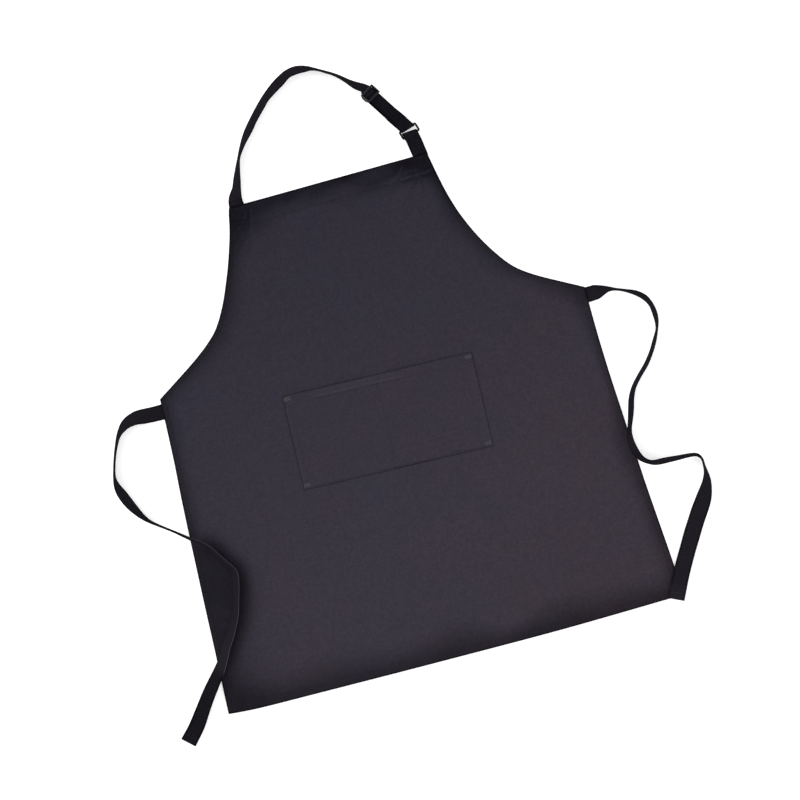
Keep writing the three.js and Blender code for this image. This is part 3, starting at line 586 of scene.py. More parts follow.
tie_l_P, tie_l_A = tape_frames([[-340.33, -19.5, 0, 0.2]] + TIE_LEFT_ROUTE, 1, 23.0, 1.0)
tie_r_P, tie_r_A = tape_frames([[342.53, -12.0, 0, 0.2]] + TIE_RIGHT_ROUTE, 1, 23.0, 1.0)

w_big, w_mid, w_small, w_shade = waves(260), waves(95), waves(38), waves(120)
w_pull = waves(24)


def bump_box(X, Y, x0, x1, y0, y1, soft):
    return (
        step_up(X, x0 - soft, x0) * (1 - step_up(X, x1, x1 + soft)) * step_up(Y, y0 - soft, y0) * (1 - step_up(Y, y1, y1 + soft))
    )


def edges(X, Y):
    d_arm = np.minimum(near(arm_l, X, Y)[0], near(arm_r, X, Y)[0])
    d_side = np.minimum(near(side_l, X, Y)[0], near(side_r, X, Y)[0])
    d_bot = near(bottom, X, Y)[0]
    d_bib = near(bib, X, Y)[0]
    return d_arm, d_side, d_bot, d_bib


def pocket_local(X, Y):
    c, s = math.cos(POCKET_TURN), math.sin(POCKET_TURN)
    dx, dy = X - POCKET_AT[0], Y - POCKET_AT[1]
    return dx * c + dy * s, -dx * s + dy * c


def groove(d, width=0.9):
    return np.exp(-((d / width) ** 2))


def puckers(X, Y, cx, cy, reach, lobes, phase, spread):
    """Folds that run out from a sewn corner."""
    dx, dy = X - cx, Y - cy
    r = np.hypot(dx, dy) + 1e-6
    a = np.arctan2(dy, dx)
    return np.cos(a * lobes + phase + 0.6 * np.sin(r / 17.0)) * np.exp(-((r / reach) ** 1.6)) * step_up(r, 2.0, spread)


def cloth_top(X, Y, want=None):
    """Height of the panel's upper face in mm, and how many layers of hem lie under it."""
    d_arm, d_side, d_bot, d_bib = edges(X, Y)
    d = np.minimum(np.minimum(d_arm, d_side), np.minimum(d_bot, d_bib))
    lay = np.maximum.reduce(
        [
            1 - step_up(d_bib, HEM_BIB - 0.4, HEM_BIB + 1.6),
            1 - step_up(d_side, HEM_SIDE - 0.3, HEM_SIDE + 1.2),
            1 - step_up(d_arm, HEM_ARM - 0.3, HEM_ARM + 1.2),
            1 - step_up(d_bot, HEM_BOTTOM - 0.3, HEM_BOTTOM + 1.4),
        ]
    )
    tails = np.maximum.reduce(
        [
            1.0 * bump_box(X, Y, NECK_X - 11.8, NECK_X + 11.8, bib_y(NECK_X) - TAIL_BIB - 0.6, 400, 2.2),
            2.0 * bump_box(X, Y, TAB_FOOT[0] - 11.8, TAB_FOOT[0] + 11.8, bib_y(TAB_FOOT[0]) - TAIL_BIB - 0.6, 400, 2.4),
            1.0 * bump_box(X, Y, -400, TIE_ROOT_X[0] + TAIL_TIE + 0.6, TIE_ROOT_Y[0] - 11.8, TIE_ROOT_Y[0] + 11.8, 2.2),
            1.0 * bump_box(X, Y, TIE_ROOT_X[1] - TAIL_TIE - 0.6, 400, TIE_ROOT_Y[1] - 11.8, TIE_ROOT_Y[1] + 11.8, 2.2),
        ]
    )
    calm = step_up(d, 4, 70)
    wave = (0.55 * w_big(X, Y) + 0.30 * w_mid(X, Y)) * (0.25 + 0.75 * calm) + 0.10 * w_small(X, Y)
    pull = (
        1.25 * puckers(X, Y, -143.0, 222.0, 46, 9, 0.6, 10)
        + 1.35 * puckers(X, Y, 132.0, 226.0, 56, 9, 2.0, 10)
        + 0.45 * puckers(X, Y, -312, -20, 30, 7, 1.0, 9)
        + 0.45 * puckers(X, Y, 314, -12, 30, 7, 0.3, 9)
    )
    # the top hem's cloth is drawn up a little between its corners
    hemband = (1 - step_up(d_bib, 24, 44)) * (0.30 * w_pull(X, Y * 0.45) + 0.26 * w_small(X * 1.4, Y))
    # small gathers across the narrow hems
    rip = 0.10 * (1 - step_up(np.minimum(np.minimum(d_arm, d_side), d_bot), 8, 22)) * w_pull(X, Y)
    z = Z_CLOTH + 0.45 + wave + pull + hemband + rip + 0.55 * lay + tails
    z -= 0.42 * (
        groove(d_bib - HEM_BIB, 1.0)
        + groove(d_side - HEM_SIDE, 0.9)
        + groove(d_arm - HEM_ARM, 0.9)
        + groove(d_bot - HEM_BOTTOM, 0.9)
    )
    z = np.maximum(z, 1.25 + 0.6 * lay + tails)
    roll = np.sqrt(np.clip(1 - (1 - np.clip(d / 1.5, 0, 1)) ** 2, 0, 1))
    rim = 0.72 + 0.3 * lay + 0.55 * tails
    top = rim + (z - rim) * roll
    low = np.maximum(z - 0.75 - 0.75 * lay, 0.08 + 1.18 * np.minimum(tails, 1) + 0.85 * np.clip(tails - 1, 0, 1))
    low = rim + (low - rim) * roll
    if want == "all":
        return top, low, lay, d, (d_arm, d_side, d_bot, d_bib)
    return top


_tie_line = tie_l_P[:, :2]


# painted shade and painted highlight along sharp folds by the bib's sewn corners: how much darker (or, below nought,
# lighter), how wide, and where, in mm
CREASE_SHADE_LINES = [
    (-0.42, 1.5, [(75.0, 227.8), (88.3, 222.8), (102.6, 230.5), (112.6, 244.9)]),
    (-0.46, 1.3, [(101.7, 223.9), (121.9, 224.7), (140.7, 225.9), (153.3, 227.2)]),
    (-0.30, 1.4, [(111.9, 233.5), (134.4, 231.4)]),
    (0.30, 1.5, [(103.5, 219.1), (123.6, 219.6), (142.3, 220.4), (155.1, 222.1)]),
    (0.24, 1.7, [(79.6, 233.6), (93.1, 232.3), (103.5, 242.6)]),
    (0.22, 1.6, [(113.6, 228.4), (135.0, 227.8), (151.5, 231.8)]),
    (-0.30, 1.3, [(-121.2, 241.9), (-125.5, 224.6), (-131.7, 206.2)]),
    (0.22, 1.5, [(-124.8, 244.4), (-129.6, 225.7), (-135.6, 207.2)]),
    (-0.26, 1.2, [(-153.1, 233.0), (-128.2, 228.1)]),
    (0.14, 1.3, [(-154.2, 229.1), (-129.3, 224.1)]),
    (-0.22, 1.2, [(-157.1, 217.9), (-132.2, 213.1)]),
    (0.20, 1.9, [(-128.9, 202.4), (-144.1, 197.2), (-159.9, 181.3)]),
    (-0.18, 1.8, [(-123.1, 200.9), (-136.9, 195.3), (-149.0, 184.6)]),
    (0.18, 2.0, [(-113.6, 207.6), (-97.7, 209.6)]),
]


def crease_shade_and_highlight(X, Y):
    # the fold lines are painted only, as shade and highlight
    f = 0 * X
    box = (Y > 150) & (np.abs(X) < 175)
    for amount, wide, line in CREASE_SHADE_LINES:
        d, at = near(np.array(line, float), X, Y)
        total = lengths(np.array(line, float))[-1]
        f = f + 0.8 * amount * np.exp(-((d / wide) ** 2)) * step_up(at, -0.01, 4) * (1 - step_up(at, total - 5, total + 0.01) * 0.7)
    return np.where(box, f, 0.0)


def shading(X, Y, D):
    """How much darker the cloth is painted: painted shade along the edges and hem bands and in the bib's and lower left
    corners, painted shadow where the left tie lies, painted shade and highlight along folds, and a thin painted dark
    line at the rim.
    """
    d_arm, d_side, d_bot, d_bib = D
    wob = w_shade(X, Y)
    # painted shade along the sides, armholes, bottom edge and top hem
    f_side = (1 - np.clip(d_side / (27 + 6 * wob + 10 * step_up(-Y, 300, 460)), 0, 1)) ** 1.5
    f_arm = (1 - np.clip(d_arm / (28 + 7 * wob + 6 * (X < 0)), 0, 1)) ** 1.5
    f_bot = 1 - step_up(d_bot, -6, 56 + 8 * wob)
    f_bib = 1 - step_up(d_bib, -2, 50 + 8 * wob)
    # painted shade in the bib's two corners and in the lower left corner
    right = np.exp(-(((X - 146) / 34) ** 2 + ((Y - 238) / 30) ** 2))
    left = np.exp(-(((X + 146) / 42) ** 2 + ((Y - 226) / 34) ** 2))
    low = np.exp(-(((X + 345) / 78) ** 2 + ((Y + 472) / 56) ** 2))
    f_bib = f_bib * (1.0 + 0.15 * w_pull(X * 0.5, Y * 0.7) + 0.08 * w_small(X, Y * 1.5))
    f_arm = f_arm * (1 + 0.25 * step_up(Y, 110, 190))
    f = 1 - (1 - 0.95 * f_side) * (1 - 0.95 * f_arm) * (1 - 0.97 * f_bot) * (1 - f_bib)
    f = 1 - (1 - f) * (1 - 0.45 * right) * (1 - 0.45 * left) * (1 - 0.85 * low) + 0.26 * right + 0.16 * left + 0.2 * low
    # painted shadow of the left tie: left of the tie, and close along its right side
    dt, at = near(_tie_line, X, Y)
    inside = np.interp(Y, _tie_line[::-1, 1], _tie_line[::-1, 0], left=-500, right=-500) - X
    span = step_up(-Y, 196, 235) * (1 - step_up(-Y, 420, 470) * 0.35)
    f_tie = np.where(inside > 0, 0.97 * span, 0.0)
    f_near = (1 - step_up(dt, 4, 31)) * step_up(-Y, 196, 240) * 1.1
    # together with the painted fold lines, and a thin painted dark line right at the rim
    return np.maximum(np.maximum(f, f_tie), f_near) + crease_shade_and_highlight(X, Y) + 0.34 * (1 - step_up(np.minimum.reduce(D), 0.8, 2.8))


def tone(X, Y):
    return np.clip(0.52 - Y / 620.0 + X / 2600.0, 0, 1)


def warm(X, Y):
    """The lower right reads a little browner than the rest."""
    return np.clip((X + 60) / 300.0, 0, 1) * np.clip((60 - Y) / 260.0, 0, 1)


def spread_out(total, fine_a, fine_b, step):
    """0 to total, at the fine places from each end, and evenly between."""
    a, b = np.array(fine_a, float), total - np.array(fine_b, float)[::-1]
    n = max(2, int(round((b[0] - a[-1]) / step)))
    return np.concatenate([a, np.linspace(a[-1], b[0], n + 1)[1:-1], b])


def closed_sheet(name, top, low, mat, attrs):
    """A closed shell from two grids of the same shape that meet along their rims."""
    r, c = top.shape[:2]
    verts = top.reshape(-1, 3).tolist()
    index_low = np.zeros((r, c), int)
    extra, keep = [], []
    for i in range(r):
        for j in range(c):
            if i in (0, r - 1) or j in (0, c - 1):
                index_low[i, j] = i * c + j
            else:
                index_low[i, j] = r * c + len(extra)
                extra.append(low[i, j])
                keep.append(i * c + j)
    verts = np.array(verts + [list(p) for p in extra])
    faces = []
    for i in range(r - 1):
        for j in range(c - 1):
            a, b = i * c + j, (i + 1) * c + j
            faces.append((a, a + 1, b + 1, b))
            faces.append((int(index_low[i, j]), int(index_low[i + 1, j]), int(index_low[i + 1, j + 1]), int(index_low[i, j + 1])))
    full = {k: np.concatenate([v.ravel(), v.ravel()[keep]]) for k, v in attrs.items()}
    return mesh_object(name, verts, faces, mat, None, full)


# ------------------------------------------------------------------------ panel
FINE = [0, 0.35, 0.9, 1.8, 3.0, 4.6, 5.8, 6.5, 7.0, 7.5, 8.0, 8.6, 9.6, 11.5, 14.5, 18.0]
rows_low = spread_out(1.0 * 479.3, [0, 0.35, 0.9, 1.8, 3.2, 5.2, 7.6, 9.2, 10.2, 11.0, 11.8, 12.8, 15.0, 18.0], [0, 2.0], 4.1)
rows_up = spread_out(249.3, [0, 2.0], [0, 0.35, 0.9, 1.8, 3.4] + list(np.arange(5.2, 29, 1.8)) + [29.4, 30.2, 31.0, 31.8, 32.8, 34.4] + list(np.arange(36.2, 74, 1.9)), 3.2)
t_l = np.concatenate([np.interp(rows_low, [0, 479.3], [-479.5, -0.2]), np.interp(rows_up, [0, 249.3], [-0.2, 249.1])[1:]])
t_r = np.concatenate([np.interp(rows_low, [0, 479.3], [-480.5, 0.2]), np.interp(rows_up, [0, 249.3], [0.2, 253.3])[1:]])
NC = 156
gx, gy = [], []
bx, by = bottom[::-1, 0], bottom[::-1, 1]
for yl, yr in zip(t_l, t_r):
    xl, xr = float(xl_at(yl)), float(xr_at(yr))
    a, b = xl + np.array(FINE), xr - np.array(FINE)[::-1]
    xs = np.concatenate([a, np.linspace(a[-1], b[0], NC)[1:-1], b])
    f = (xs - xl) / (xr - xl)
    ys = yl + (yr - yl) * f
    h = yl + 479.5
    if h < 90:
        lin_b = -479.5 + (-480.5 + 479.5) * (xs - bx[0]) / (bx[-1] - bx[0])
        ys = ys + (np.interp(xs, bx, by) - lin_b) * (1 - h / 90)
    gx.append(xs)
    gy.append(ys)
GX, GY = np.array(gx), np.array(gy)
top_z, low_z, lay, d_edge, D4 = cloth_top(GX, GY, "all")
panel = closed_sheet(
    "panel_cloth",
    np.stack([GX, GY, top_z], -1),
    np.stack([GX, GY, low_z], -1),
    CLOTH,
    {"shade": shading(GX, GY, D4), "tone": tone(GX, GY), "warm": warm(GX, GY)},
)
facing_out(panel)
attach(panel, "apron")
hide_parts("front_panel")


# ----------------------------------------------------------------------- pocket
def pocket_world(lx, ly):
    c, s = math.cos(POCKET_TURN), math.sin(POCKET_TURN)
    return POCKET_AT[0] + lx * c - ly * s, POCKET_AT[1] + lx * s + ly * c


PX, PY = POCKET_W / 2, POCKET_H / 2
SEAM = 3.0
POCKET_HEM = 12.5


def pocket_lift(lx, ly):
    """Height of the pocket's upper face over the panel's."""
    dl, dr, db, dt = lx + PX, PX - lx, ly + PY, PY - ly
    d = np.minimum(np.minimum(dl, dr), db)
    full = step_up(dl, 2, 34) * step_up(dr, 2, 34) * step_up(db, 2, 36) * (0.35 + 0.65 * step_up(np.abs(lx + 2), 0.8, 30))
    hem = 1 - step_up(dt, POCKET_HEM - 0.4, POCKET_HEM + 1.3)
    turn = 1 - step_up(d, 9.0, 10.6)
    z = 0.85 + 0.95 * full + 0.5 * hem + 0.4 * turn + full * (0.18 * w_small(lx, ly) + 0.22 * w_mid(lx * 1.3, ly))
    z += 0.10 * w_pull(lx, ly) * np.exp(-np.minimum(d, dt) / 14)
    z -= 0.5 * groove(d - 2.4, 0.8) + 0.42 * groove(dt - POCKET_HEM, 0.9) * step_up(dl, 3, 8) * step_up(dr, 3, 8)
    z -= 0.32 * groove(lx + 2.0, 1.3) * (1 - step_up(ly, PY - POCKET_HEM - 3, PY - POCKET_HEM + 2))
    corner = np.minimum(np.hypot(np.abs(lx) - (PX - 6), ly - (PY - 6)), np.hypot(np.abs(lx) - (PX - 6), ly + (PY - 6)))
    z -= 0.5 * (1 - step_up(corner, 3, 11))
    return z, np.minimum(d, dt), full


FINE_P = [0, 0.3, 0.8, 1.5, 2.0, 2.4, 2.8, 3.4, 4.6, 6.4, 8.6, 9.6, 10.4, 12.0]
px = spread_out(POCKET_W, FINE_P, FINE_P, 2.6) - PX
mid = np.argmin(np.abs(px + 2))
px[mid - 1 : mid + 2] = [-3.0, -2.0, -1.0]
py = spread_out(POCKET_H, FINE_P, [0, 0.3, 0.8, 1.5, 2.6, 4.4, 6.8, 9.2, 11.2, 11.9, 12.5, 13.1, 14.0, 15.6], 2.6) - PY
LX, LY = np.meshgrid(px, py)
WX, WY = pocket_world(LX, LY)
base_z = cloth_top(WX, WY)
lift, d_rim, full = pocket_lift(LX, LY)
roll = np.sqrt(np.clip(1 - (1 - np.clip(d_rim / 0.9, 0, 1)) ** 2, 0, 1))
rim_z = base_z + 0.3 + 0.0 * lift
p_top = rim_z + (base_z + lift - rim_z) * roll
p_low = np.maximum(base_z + 0.10, base_z + lift - 0.75 - 0.35 * (1 - step_up(PY - LY, POCKET_HEM - 0.4, POCKET_HEM + 1.3)))
p_low = rim_z + (p_low - rim_z) * roll
dt_p, db_p, dx_p = PY - LY, LY + PY, PX - np.abs(LX)
# painted shade along the pocket's rims and below its stitch rows, and painted highlight (negative values) on the mouth
# band and beside the side stitching
pocket_shade_and_highlight = 0.62 * np.exp(-((dt_p / 1.3) ** 2)) * (0.75 + 0.25 * step_up(-LX, -40, 60))
pocket_shade_and_highlight = np.maximum(pocket_shade_and_highlight, 0.52 * np.exp(-((db_p / 1.2) ** 2)) + 0.45 * np.exp(-((db_p / 2.0) ** 2)) * step_up(LX, -15, 8) * (1 - step_up(LX, 30, 70)))
pocket_shade_and_highlight = np.maximum(pocket_shade_and_highlight, 0.55 * np.exp(-((dx_p / 1.0) ** 2)))
band_p = step_up(LX, -125, -70) * (1 - step_up(LX, 5, 60))
pocket_shade_and_highlight += 0.26 * np.exp(-(((dt_p - POCKET_HEM - 1.6) / 1.1) ** 2)) * (0.4 + 0.6 * band_p)
pocket_shade_and_highlight -= band_p * (0.30 * np.exp(-(((dt_p - 4.2) / 1.5) ** 2)) * (0.8 + 0.4 * w_pull(LX * 0.4, LY)) + 0.46 * np.exp(-(((dt_p - POCKET_HEM + 1.3) / 1.5) ** 2)) + 0.10 * step_up(dt_p, 1.5, 3) * (1 - step_up(dt_p, 11.5, 12.6)))
pocket_shade_and_highlight -= 0.30 * np.exp(-(((dx_p - 2.7) / 1.2) ** 2)) * step_up(dt_p, 12, 20)
pocket_shade_and_highlight += 0.08 * np.exp(-(((dx_p - 11.0) / 3.0) ** 2 + ((LY + 36) / 26) ** 2)) * (LX < 0)
pocket_shade_and_highlight += 0.03 * np.exp(-(((LX + 2.0) / 0.9) ** 2)) * (dt_p > POCKET_HEM)
pocket = closed_sheet(
    "pocket_cloth",
    np.stack([WX, WY, p_top], -1),
    np.stack([WX, WY, p_low], -1),
    POCKET_CLOTH,
    {"shade": pocket_shade_and_highlight, "tone": tone(WX, WY), "warm": warm(WX, WY)},
)
facing_out(pocket)
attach(pocket, "apron")
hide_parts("pocket")


def pocket_top(x, y):
    lx, ly = pocket_local(x, y)
    return cloth_top(x, y) + pocket_lift(lx, ly)[0]


# --------------------------------------------------------------------- stitching
def inset(path, d):
    """A path moved d to its left."""
    t = unit(np.gradient(path, axis=0))
    return np.stack([path[:, 0] - t[:, 1] * d, path[:, 1] + t[:, 0] * d], 1)


def sewn(piece, *nodes, slot="thread"):
    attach(piece, "apron")
    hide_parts(*nodes)
    return piece


def cut(path, y0, y1):
    m = (path[:, 1] >= y0) & (path[:, 1] <= y1)
    return path[m]


hy = lambda x: bib_y(x) - HEM_BIB
bib_row = np.array([[x, hy(x)] for x in np.linspace(-157.5, 157.5, 90)])
bib_row = bib_row[(bib_row[:, 0] > xl_at(bib_row[:, 1]) + 1.5) & (bib_row[:, 0] < xr_at(bib_row[:, 1]) - 1.5)]
sewn(stitches("bib_hem_thread", bib_row, cloth_top, THREAD), "bib_hem_stitch")
rows = {
    "armhole_thread_right": (inset(resample(arm_r, 4), -HEM_ARM), "armhole_stitch_right", (6, 219)),
    "armhole_thread_left": (inset(resample(arm_l, 4), HEM_ARM), "armhole_stitch_left", (6, 217)),
    "side_thread_left": (inset(resample(side_l, 4), HEM_SIDE), "side_stitch_left", (-470, -6)),
    "side_thread_right": (inset(resample(side_r, 4), -HEM_SIDE), "side_stitch_right", (-470, -6)),
}
for nm, (path, node, (y0, y1)) in rows.items():
    sewn(stitches(nm, cut(path, y0, y1), cloth_top, THREAD), node)
bot_row = inset(resample(bottom, 4), -HEM_BOTTOM)
bot_row = bot_row[(bot_row[:, 0] > -338) & (bot_row[:, 0] < 345)]
sewn(stitches("bottom_hem_thread", bot_row, cloth_top, THREAD), "bottom_hem_stitch")


def box_path(w, l, x, y):
    a, b = w / 2, l / 2
    return resample(np.array([[x - a, y - b], [x + a, y - b], [x + a, y + b], [x - a, y + b], [x - a, y - b + 0.5]]), 1.0)


sewn(stitches("neck_anchor_thread", box_path(17, 20, NECK_X - 0.4, bib_y(NECK_X) - 14.5), cloth_top, THREAD), "neck_anchor_stitch")
sewn(stitches("tab_anchor_thread", box_path(17, 20, TAB_FOOT[0] - 2.2, bib_y(TAB_FOOT[0]) - 14.5), cloth_top, THREAD), "tab_anchor_stitch")
sewn(stitches("tie_anchor_thread_left", box_path(13, 19, TIE_ROOT_X[0] + 9.5, TIE_ROOT_Y[0]), cloth_top, THREAD), "tie_anchor_stitch_left")
sewn(stitches("tie_anchor_thread_right", box_path(13, 19, TIE_ROOT_X[1] - 9.5, TIE_ROOT_Y[1]), cloth_top, THREAD), "tie_anchor_stitch_right")


def pocket_row(name, node, a, b, mat=POCKET_THREAD, **kw):
    q = resample(np.array([a, b], float), 2.0)
    x, y = pocket_world(q[:, 0], q[:, 1])
    sewn(stitches(name, np.stack([x, y], 1), pocket_top, mat, **kw), node)


pocket_row("pocket_mouth_thread", "pocket_mouth_stitch", (-PX + 3.5, PY - POCKET_HEM), (PX - 3.5, PY - POCKET_HEM), TACKS, r=0.34)
pocket_row("pocket_thread_left", "pocket_stitch_left", (-PX + 2.4, PY - 11), (-PX + 2.4, -PY + 11))
pocket_row("pocket_thread_right", "pocket_stitch_right", (PX - 2.4, PY - 11), (PX - 2.4, -PY + 11))
pocket_row("pocket_thread_bottom", "pocket_stitch_bottom", (-PX + 12.5, -PY + 2.4), (PX - 12.5, -PY + 2.4))
pocket_row("pocket_divider_thread", "pocket_divider_stitch", (-2, -PY + 7), (-2, PY - POCKET_HEM - 1))


def bartack(name, node, lx, ly, w, l, count, along_y=True, r=0.36):
    """A close zigzag of thread, sewn to and fro."""
    q = []
    for i in range(count + 1):
        f = -0.5 + i / count
        e = 0.5 if i % 2 else -0.5
        q.append((lx + f * w, ly + e * l) if along_y else (lx + e * w, ly + f * l))
    q = resample(np.array(q), 0.8)
    x, y = pocket_world(q[:, 0], q[:, 1])
    z = pocket_top(x, y) + 0.28
    P = np.stack([x, y, z], 1)
    o = tube(name, P, r, TACKS)
    sewn(o, node)


def tube(name, P, r, mat, sides=6):
    T = unit(np.gradient(P, axis=0))
    up = np.array([0, 0, 1.0])
    S = unit(np.cross(np.broadcast_to(up, T.shape), T))
    V = np.cross(T, S)
    verts = []
    for a in range(sides):
        f = 2 * math.pi * a / sides
        verts.append(P + S * math.cos(f) * r + V * math.sin(f) * r)
    verts = np.stack(verts, 1).reshape(-1, 3)
    faces = []
    for i in range(len(P) - 1):
        for a in range(sides):
            b = (a + 1) % sides
            faces.append((i * sides + a, i * sides + b, (i + 1) * sides + b, (i + 1) * sides + a))
    faces.append(tuple(range(sides))[::-1])
    faces.append(tuple((len(P) - 1) * sides + a for a in range(sides)))
    o = mesh_object(name, verts, faces, mat)
    facing_out(o)
    return o


tx, ty = PX - 1.2 - 5.5, PY - 1.2 - 4.75
for nm, sx, sy in (("top_left", -1, 1), ("top_right", 1, 1), ("bottom_left", -1, -1), ("bottom_right", 1, -1)):
    bartack("bartack_thread_" + nm, "pocket_bartack_" + nm, sx * tx, sy * ty, 10.2, 8.6, 18)
bartack("divider_tack_thread_top", "divider_tack_top", -2.0, PY - 4.2, 4.6, 1.8, 7, True, 0.3)
bartack("divider_tack_thread_bottom", "divider_tack_bottom", -2.0, -PY + 5.2, 4.6, 1.8, 7, True, 0.3)

# ---------------------------------------------------------------- neck webbing
D = unit(np.array([[0.545, -0.8384, 0.0]]))[0]
S0 = np.array([92.8, 358.8, 10.4])
TILT = math.radians(30.0)
INWARD = np.array([D[1], -D[0], 0.0])
ACROSS = INWARD * math.cos(TILT) + np.array([0, 0, math.sin(TILT)])
UP = unit(np.cross(ACROSS, D)[None])[0]
ZUP = np.array([0, 0, 1.0])
on_slide = lambda d, up=0.0: S0 + D * d + UP * up
RT = math.radians(17.2)
RING_DIR = np.array([math.cos(RT), math.sin(RT), 0.0])
RING_UP = np.array([-RING_DIR[1], RING_DIR[0], 0.0])
bar_upper = on_slide(74.6)
bar_upper[2] = 3.5
bar_lower = bar_upper - RING_UP * 11.5
EYE = 2.5
ALONG_BAR = -RING_DIR
strap_bar = bar_upper - RING_DIR * 0.45
top_end = strap_bar - D * 11 + np.array([0, 0, EYE + 0.4])


def lean_across(P, leans, side):
    T = unit(np.gradient(P, axis=0))
    left = unit(np.stack([-T[:, 1], T[:, 0], np.zeros(len(T))], 1)) * side
    a = np.radians(leans)[:, None]
    A = left * np.cos(a) + ZUP * np.sin(a)
    return unit(A - T * np.sum(A * T, 1, keepdims=True))


foot_y = bib_y(NECK_X)
N = 6
neck_pts, neck_lean = [], []
for y in (foot_y - TAIL_BIB, foot_y - 14, foot_y - 3):
    neck_pts.append((NECK_X, y, 0.72))
    neck_lean.append(0)
for x, y, lean, low in NECK_ROUTE:
    a = math.radians(lean)
    neck_pts.append((x, y, low + 11.5 * math.sin(a) + 0.5 * math.cos(a)))
    neck_lean.append(lean)
for p, l in ((on_slide(-12.5), 50), (on_slide(-10), 42), (on_slide(2), 30), (on_slide(14), 30), (on_slide(26), 30), (on_slide(38), 30), (on_slide(44), 30), ((top_end + on_slide(44)) / 2, 15), (top_end, 0)):
    neck_pts.append(tuple(p))
    neck_lean.append(l)
n_route = len(neck_pts)
neck_P = catmull(neck_pts, N)
neck_L = smooth(np.interp(np.linspace(0, n_route - 1, len(neck_P)), np.arange(n_route), neck_lean), 4)
neck_A = lean_across(neck_P, neck_L, -1)
w = np.clip((np.linspace(0, n_route - 1, len(neck_P)) - (n_route - 3)) / 2, 0, 1)[:, None]
neck_A = np.where(w > 0, unit(ACROSS * (1 - w) + ALONG_BAR * w), neck_A)

# the turn round the ring's upper bar, then back under the strap to the slider
ret_pts, ret_lean = [], []


def put(p, lean):
    ret_pts.append(tuple(p))
    ret_lean.append(lean)


def turn_round(c, out, up, r, a0, a1, n, lean):
    for i in range(n + 1):
        a = math.radians(a0 + (a1 - a0) * i / n)
        put(c + out * r * math.cos(a) + up * r * math.sin(a), lean)


turn_round(strap_bar, D, ZUP, EYE, 90, -90, 6, 0)
put(strap_bar - D * 9 + ZUP * (0.3 - EYE), 2)
put(on_slide(42, -3.8), 26)
put(on_slide(26, -4.2), 30)
n_under = len(ret_pts) - 1
put(on_slide(12, -4.3), 30)
e2 = 0.65 + 0.3 + 0.2 + 0.5
turn_round(on_slide(-0.5, -2.95), -D, UP, e2, -90, 90, 6, 30)
put(on_slide(7, -2.95 + e2), 30)
ret_P = catmull([tuple(top_end)] + ret_pts, N)
ret_lean = [0] + ret_lean
rl = np.interp(np.linspace(0, len(ret_lean) - 1, len(ret_P)), np.arange(len(ret_lean)), ret_lean)
tt = np.clip(np.radians(rl) / TILT, 0, 1)[:, None]
ret_A = unit(ALONG_BAR * (1 - tt) + ACROSS * tt)

# strap: bib to slider
cut_at = int(np.argmin(np.linalg.norm(neck_P - on_slide(1.0), axis=1)))
cup = 0.25 + 0.0 * neck_P[:, 0]


def web(name, P, A, step=2.0, **kw):
    P, A = resample(P, step, A)
    return ribbon(name, P, unit(A), kw.pop("mat", WEB), **kw)


s_neck = lengths(neck_P)
strap_main = web("neck_strap_webbing", neck_P[: cut_at + 1], neck_A[: cut_at + 1], cup=0.25, edge_wave=0.25)
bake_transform(strap_main)
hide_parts("neck_strap", "neck_strap_sewn_end")

# strap: slider, ring, and a short way back under
split = int(np.argmin(np.linalg.norm(ret_P - np.array(on_slide(44, -3.8)), axis=1)))
run_P = np.vstack([neck_P[cut_at:], ret_P[1 : split + 1]])
run_A = np.vstack([neck_A[cut_at:], ret_A[1 : split + 1]])
strap_run = web("strap_turn_webbing", run_P, run_A, step=1.2, width=22.6, u0=float(s_neck[cut_at]), mat=WEB_TURN)
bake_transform(strap_run)

# the layer under it, carried with the neck loop
eye_at = int(np.argmin(np.linalg.norm(ret_P - np.array(on_slide(12, -4.3)), axis=1)))
under = web("strap_under_webbing", ret_P[split : eye_at + 1], ret_A[split : eye_at + 1], step=1.5, width=22.0, mat=WEB_BACK)
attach(under, "neck_loop")
anchor = on_slide(44, -3.8)
reach = float(np.dot(anchor - on_slide(12, -4.3), D))
tuple(D)
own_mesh(under)
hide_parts("strap_return")
eye = web("strap_eye_webbing", ret_P[eye_at:], ret_A[eye_at:], step=0.8, width=22.0, mat=WEB_BACK)
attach(eye, "slider")
q = np.array([on_slide(6, -5.15) + ACROSS * v for v in np.linspace(-9, 9, 30)])
end_thread = stitches("strap_end_thread", q, None, THREAD, normal=-UP, sink=0.05)
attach(end_thread, "slider")
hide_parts("strap_end_stitch")

# the ring's tab: two layers from behind the bib, folded round the lower bar
foot = np.array([TAB_FOOT[0], bib_y(TAB_FOOT[0]), 0.0])
foot_dir = unit(np.array([[1, 0.0137, 0]]))[0]
flat_bar = bar_lower * np.array([1, 1, 0])
tab_dir = unit((foot - flat_bar)[None])[0]
tab_L = float(np.linalg.norm(foot - flat_bar))
tab_pts, tab_w = [], []


def tput(p, w):
    tab_pts.append(tuple(p))
    tab_w.append(w)


tput(foot - np.array([0, TAIL_BIB, 0]) + ZUP * 0.68, 1)
tput(foot - np.array([0, 12, 0]) + ZUP * 0.68, 1)
tput(foot + ZUP * 0.70, 1)
tput(flat_bar + tab_dir * (tab_L - 9) + ZUP * 0.75, 0.75)
tput(flat_bar + tab_dir * 10 + ZUP * 0.95, 0.35)
for a in (-90, -60, -30, 0, 30, 60, 90):
    r_eye = 2.75
    f = math.radians(a)
    # the fold is tight on the bar at its right end and some 5 mm slack at its left end
    tput(bar_lower - RING_DIR * 0.6 + RING_UP * (2.75 + r_eye * math.cos(f)) + ZUP * r_eye * math.sin(f), 0)
tput(flat_bar + tab_dir * 10 + ZUP * 4.3, 0.35)
tput(flat_bar + tab_dir * (tab_L - 9) + ZUP * 2.3, 0.75)
tput(foot + ZUP * 1.82, 1)
tput(foot - np.array([0, 12, 0]) + ZUP * 1.78, 1)
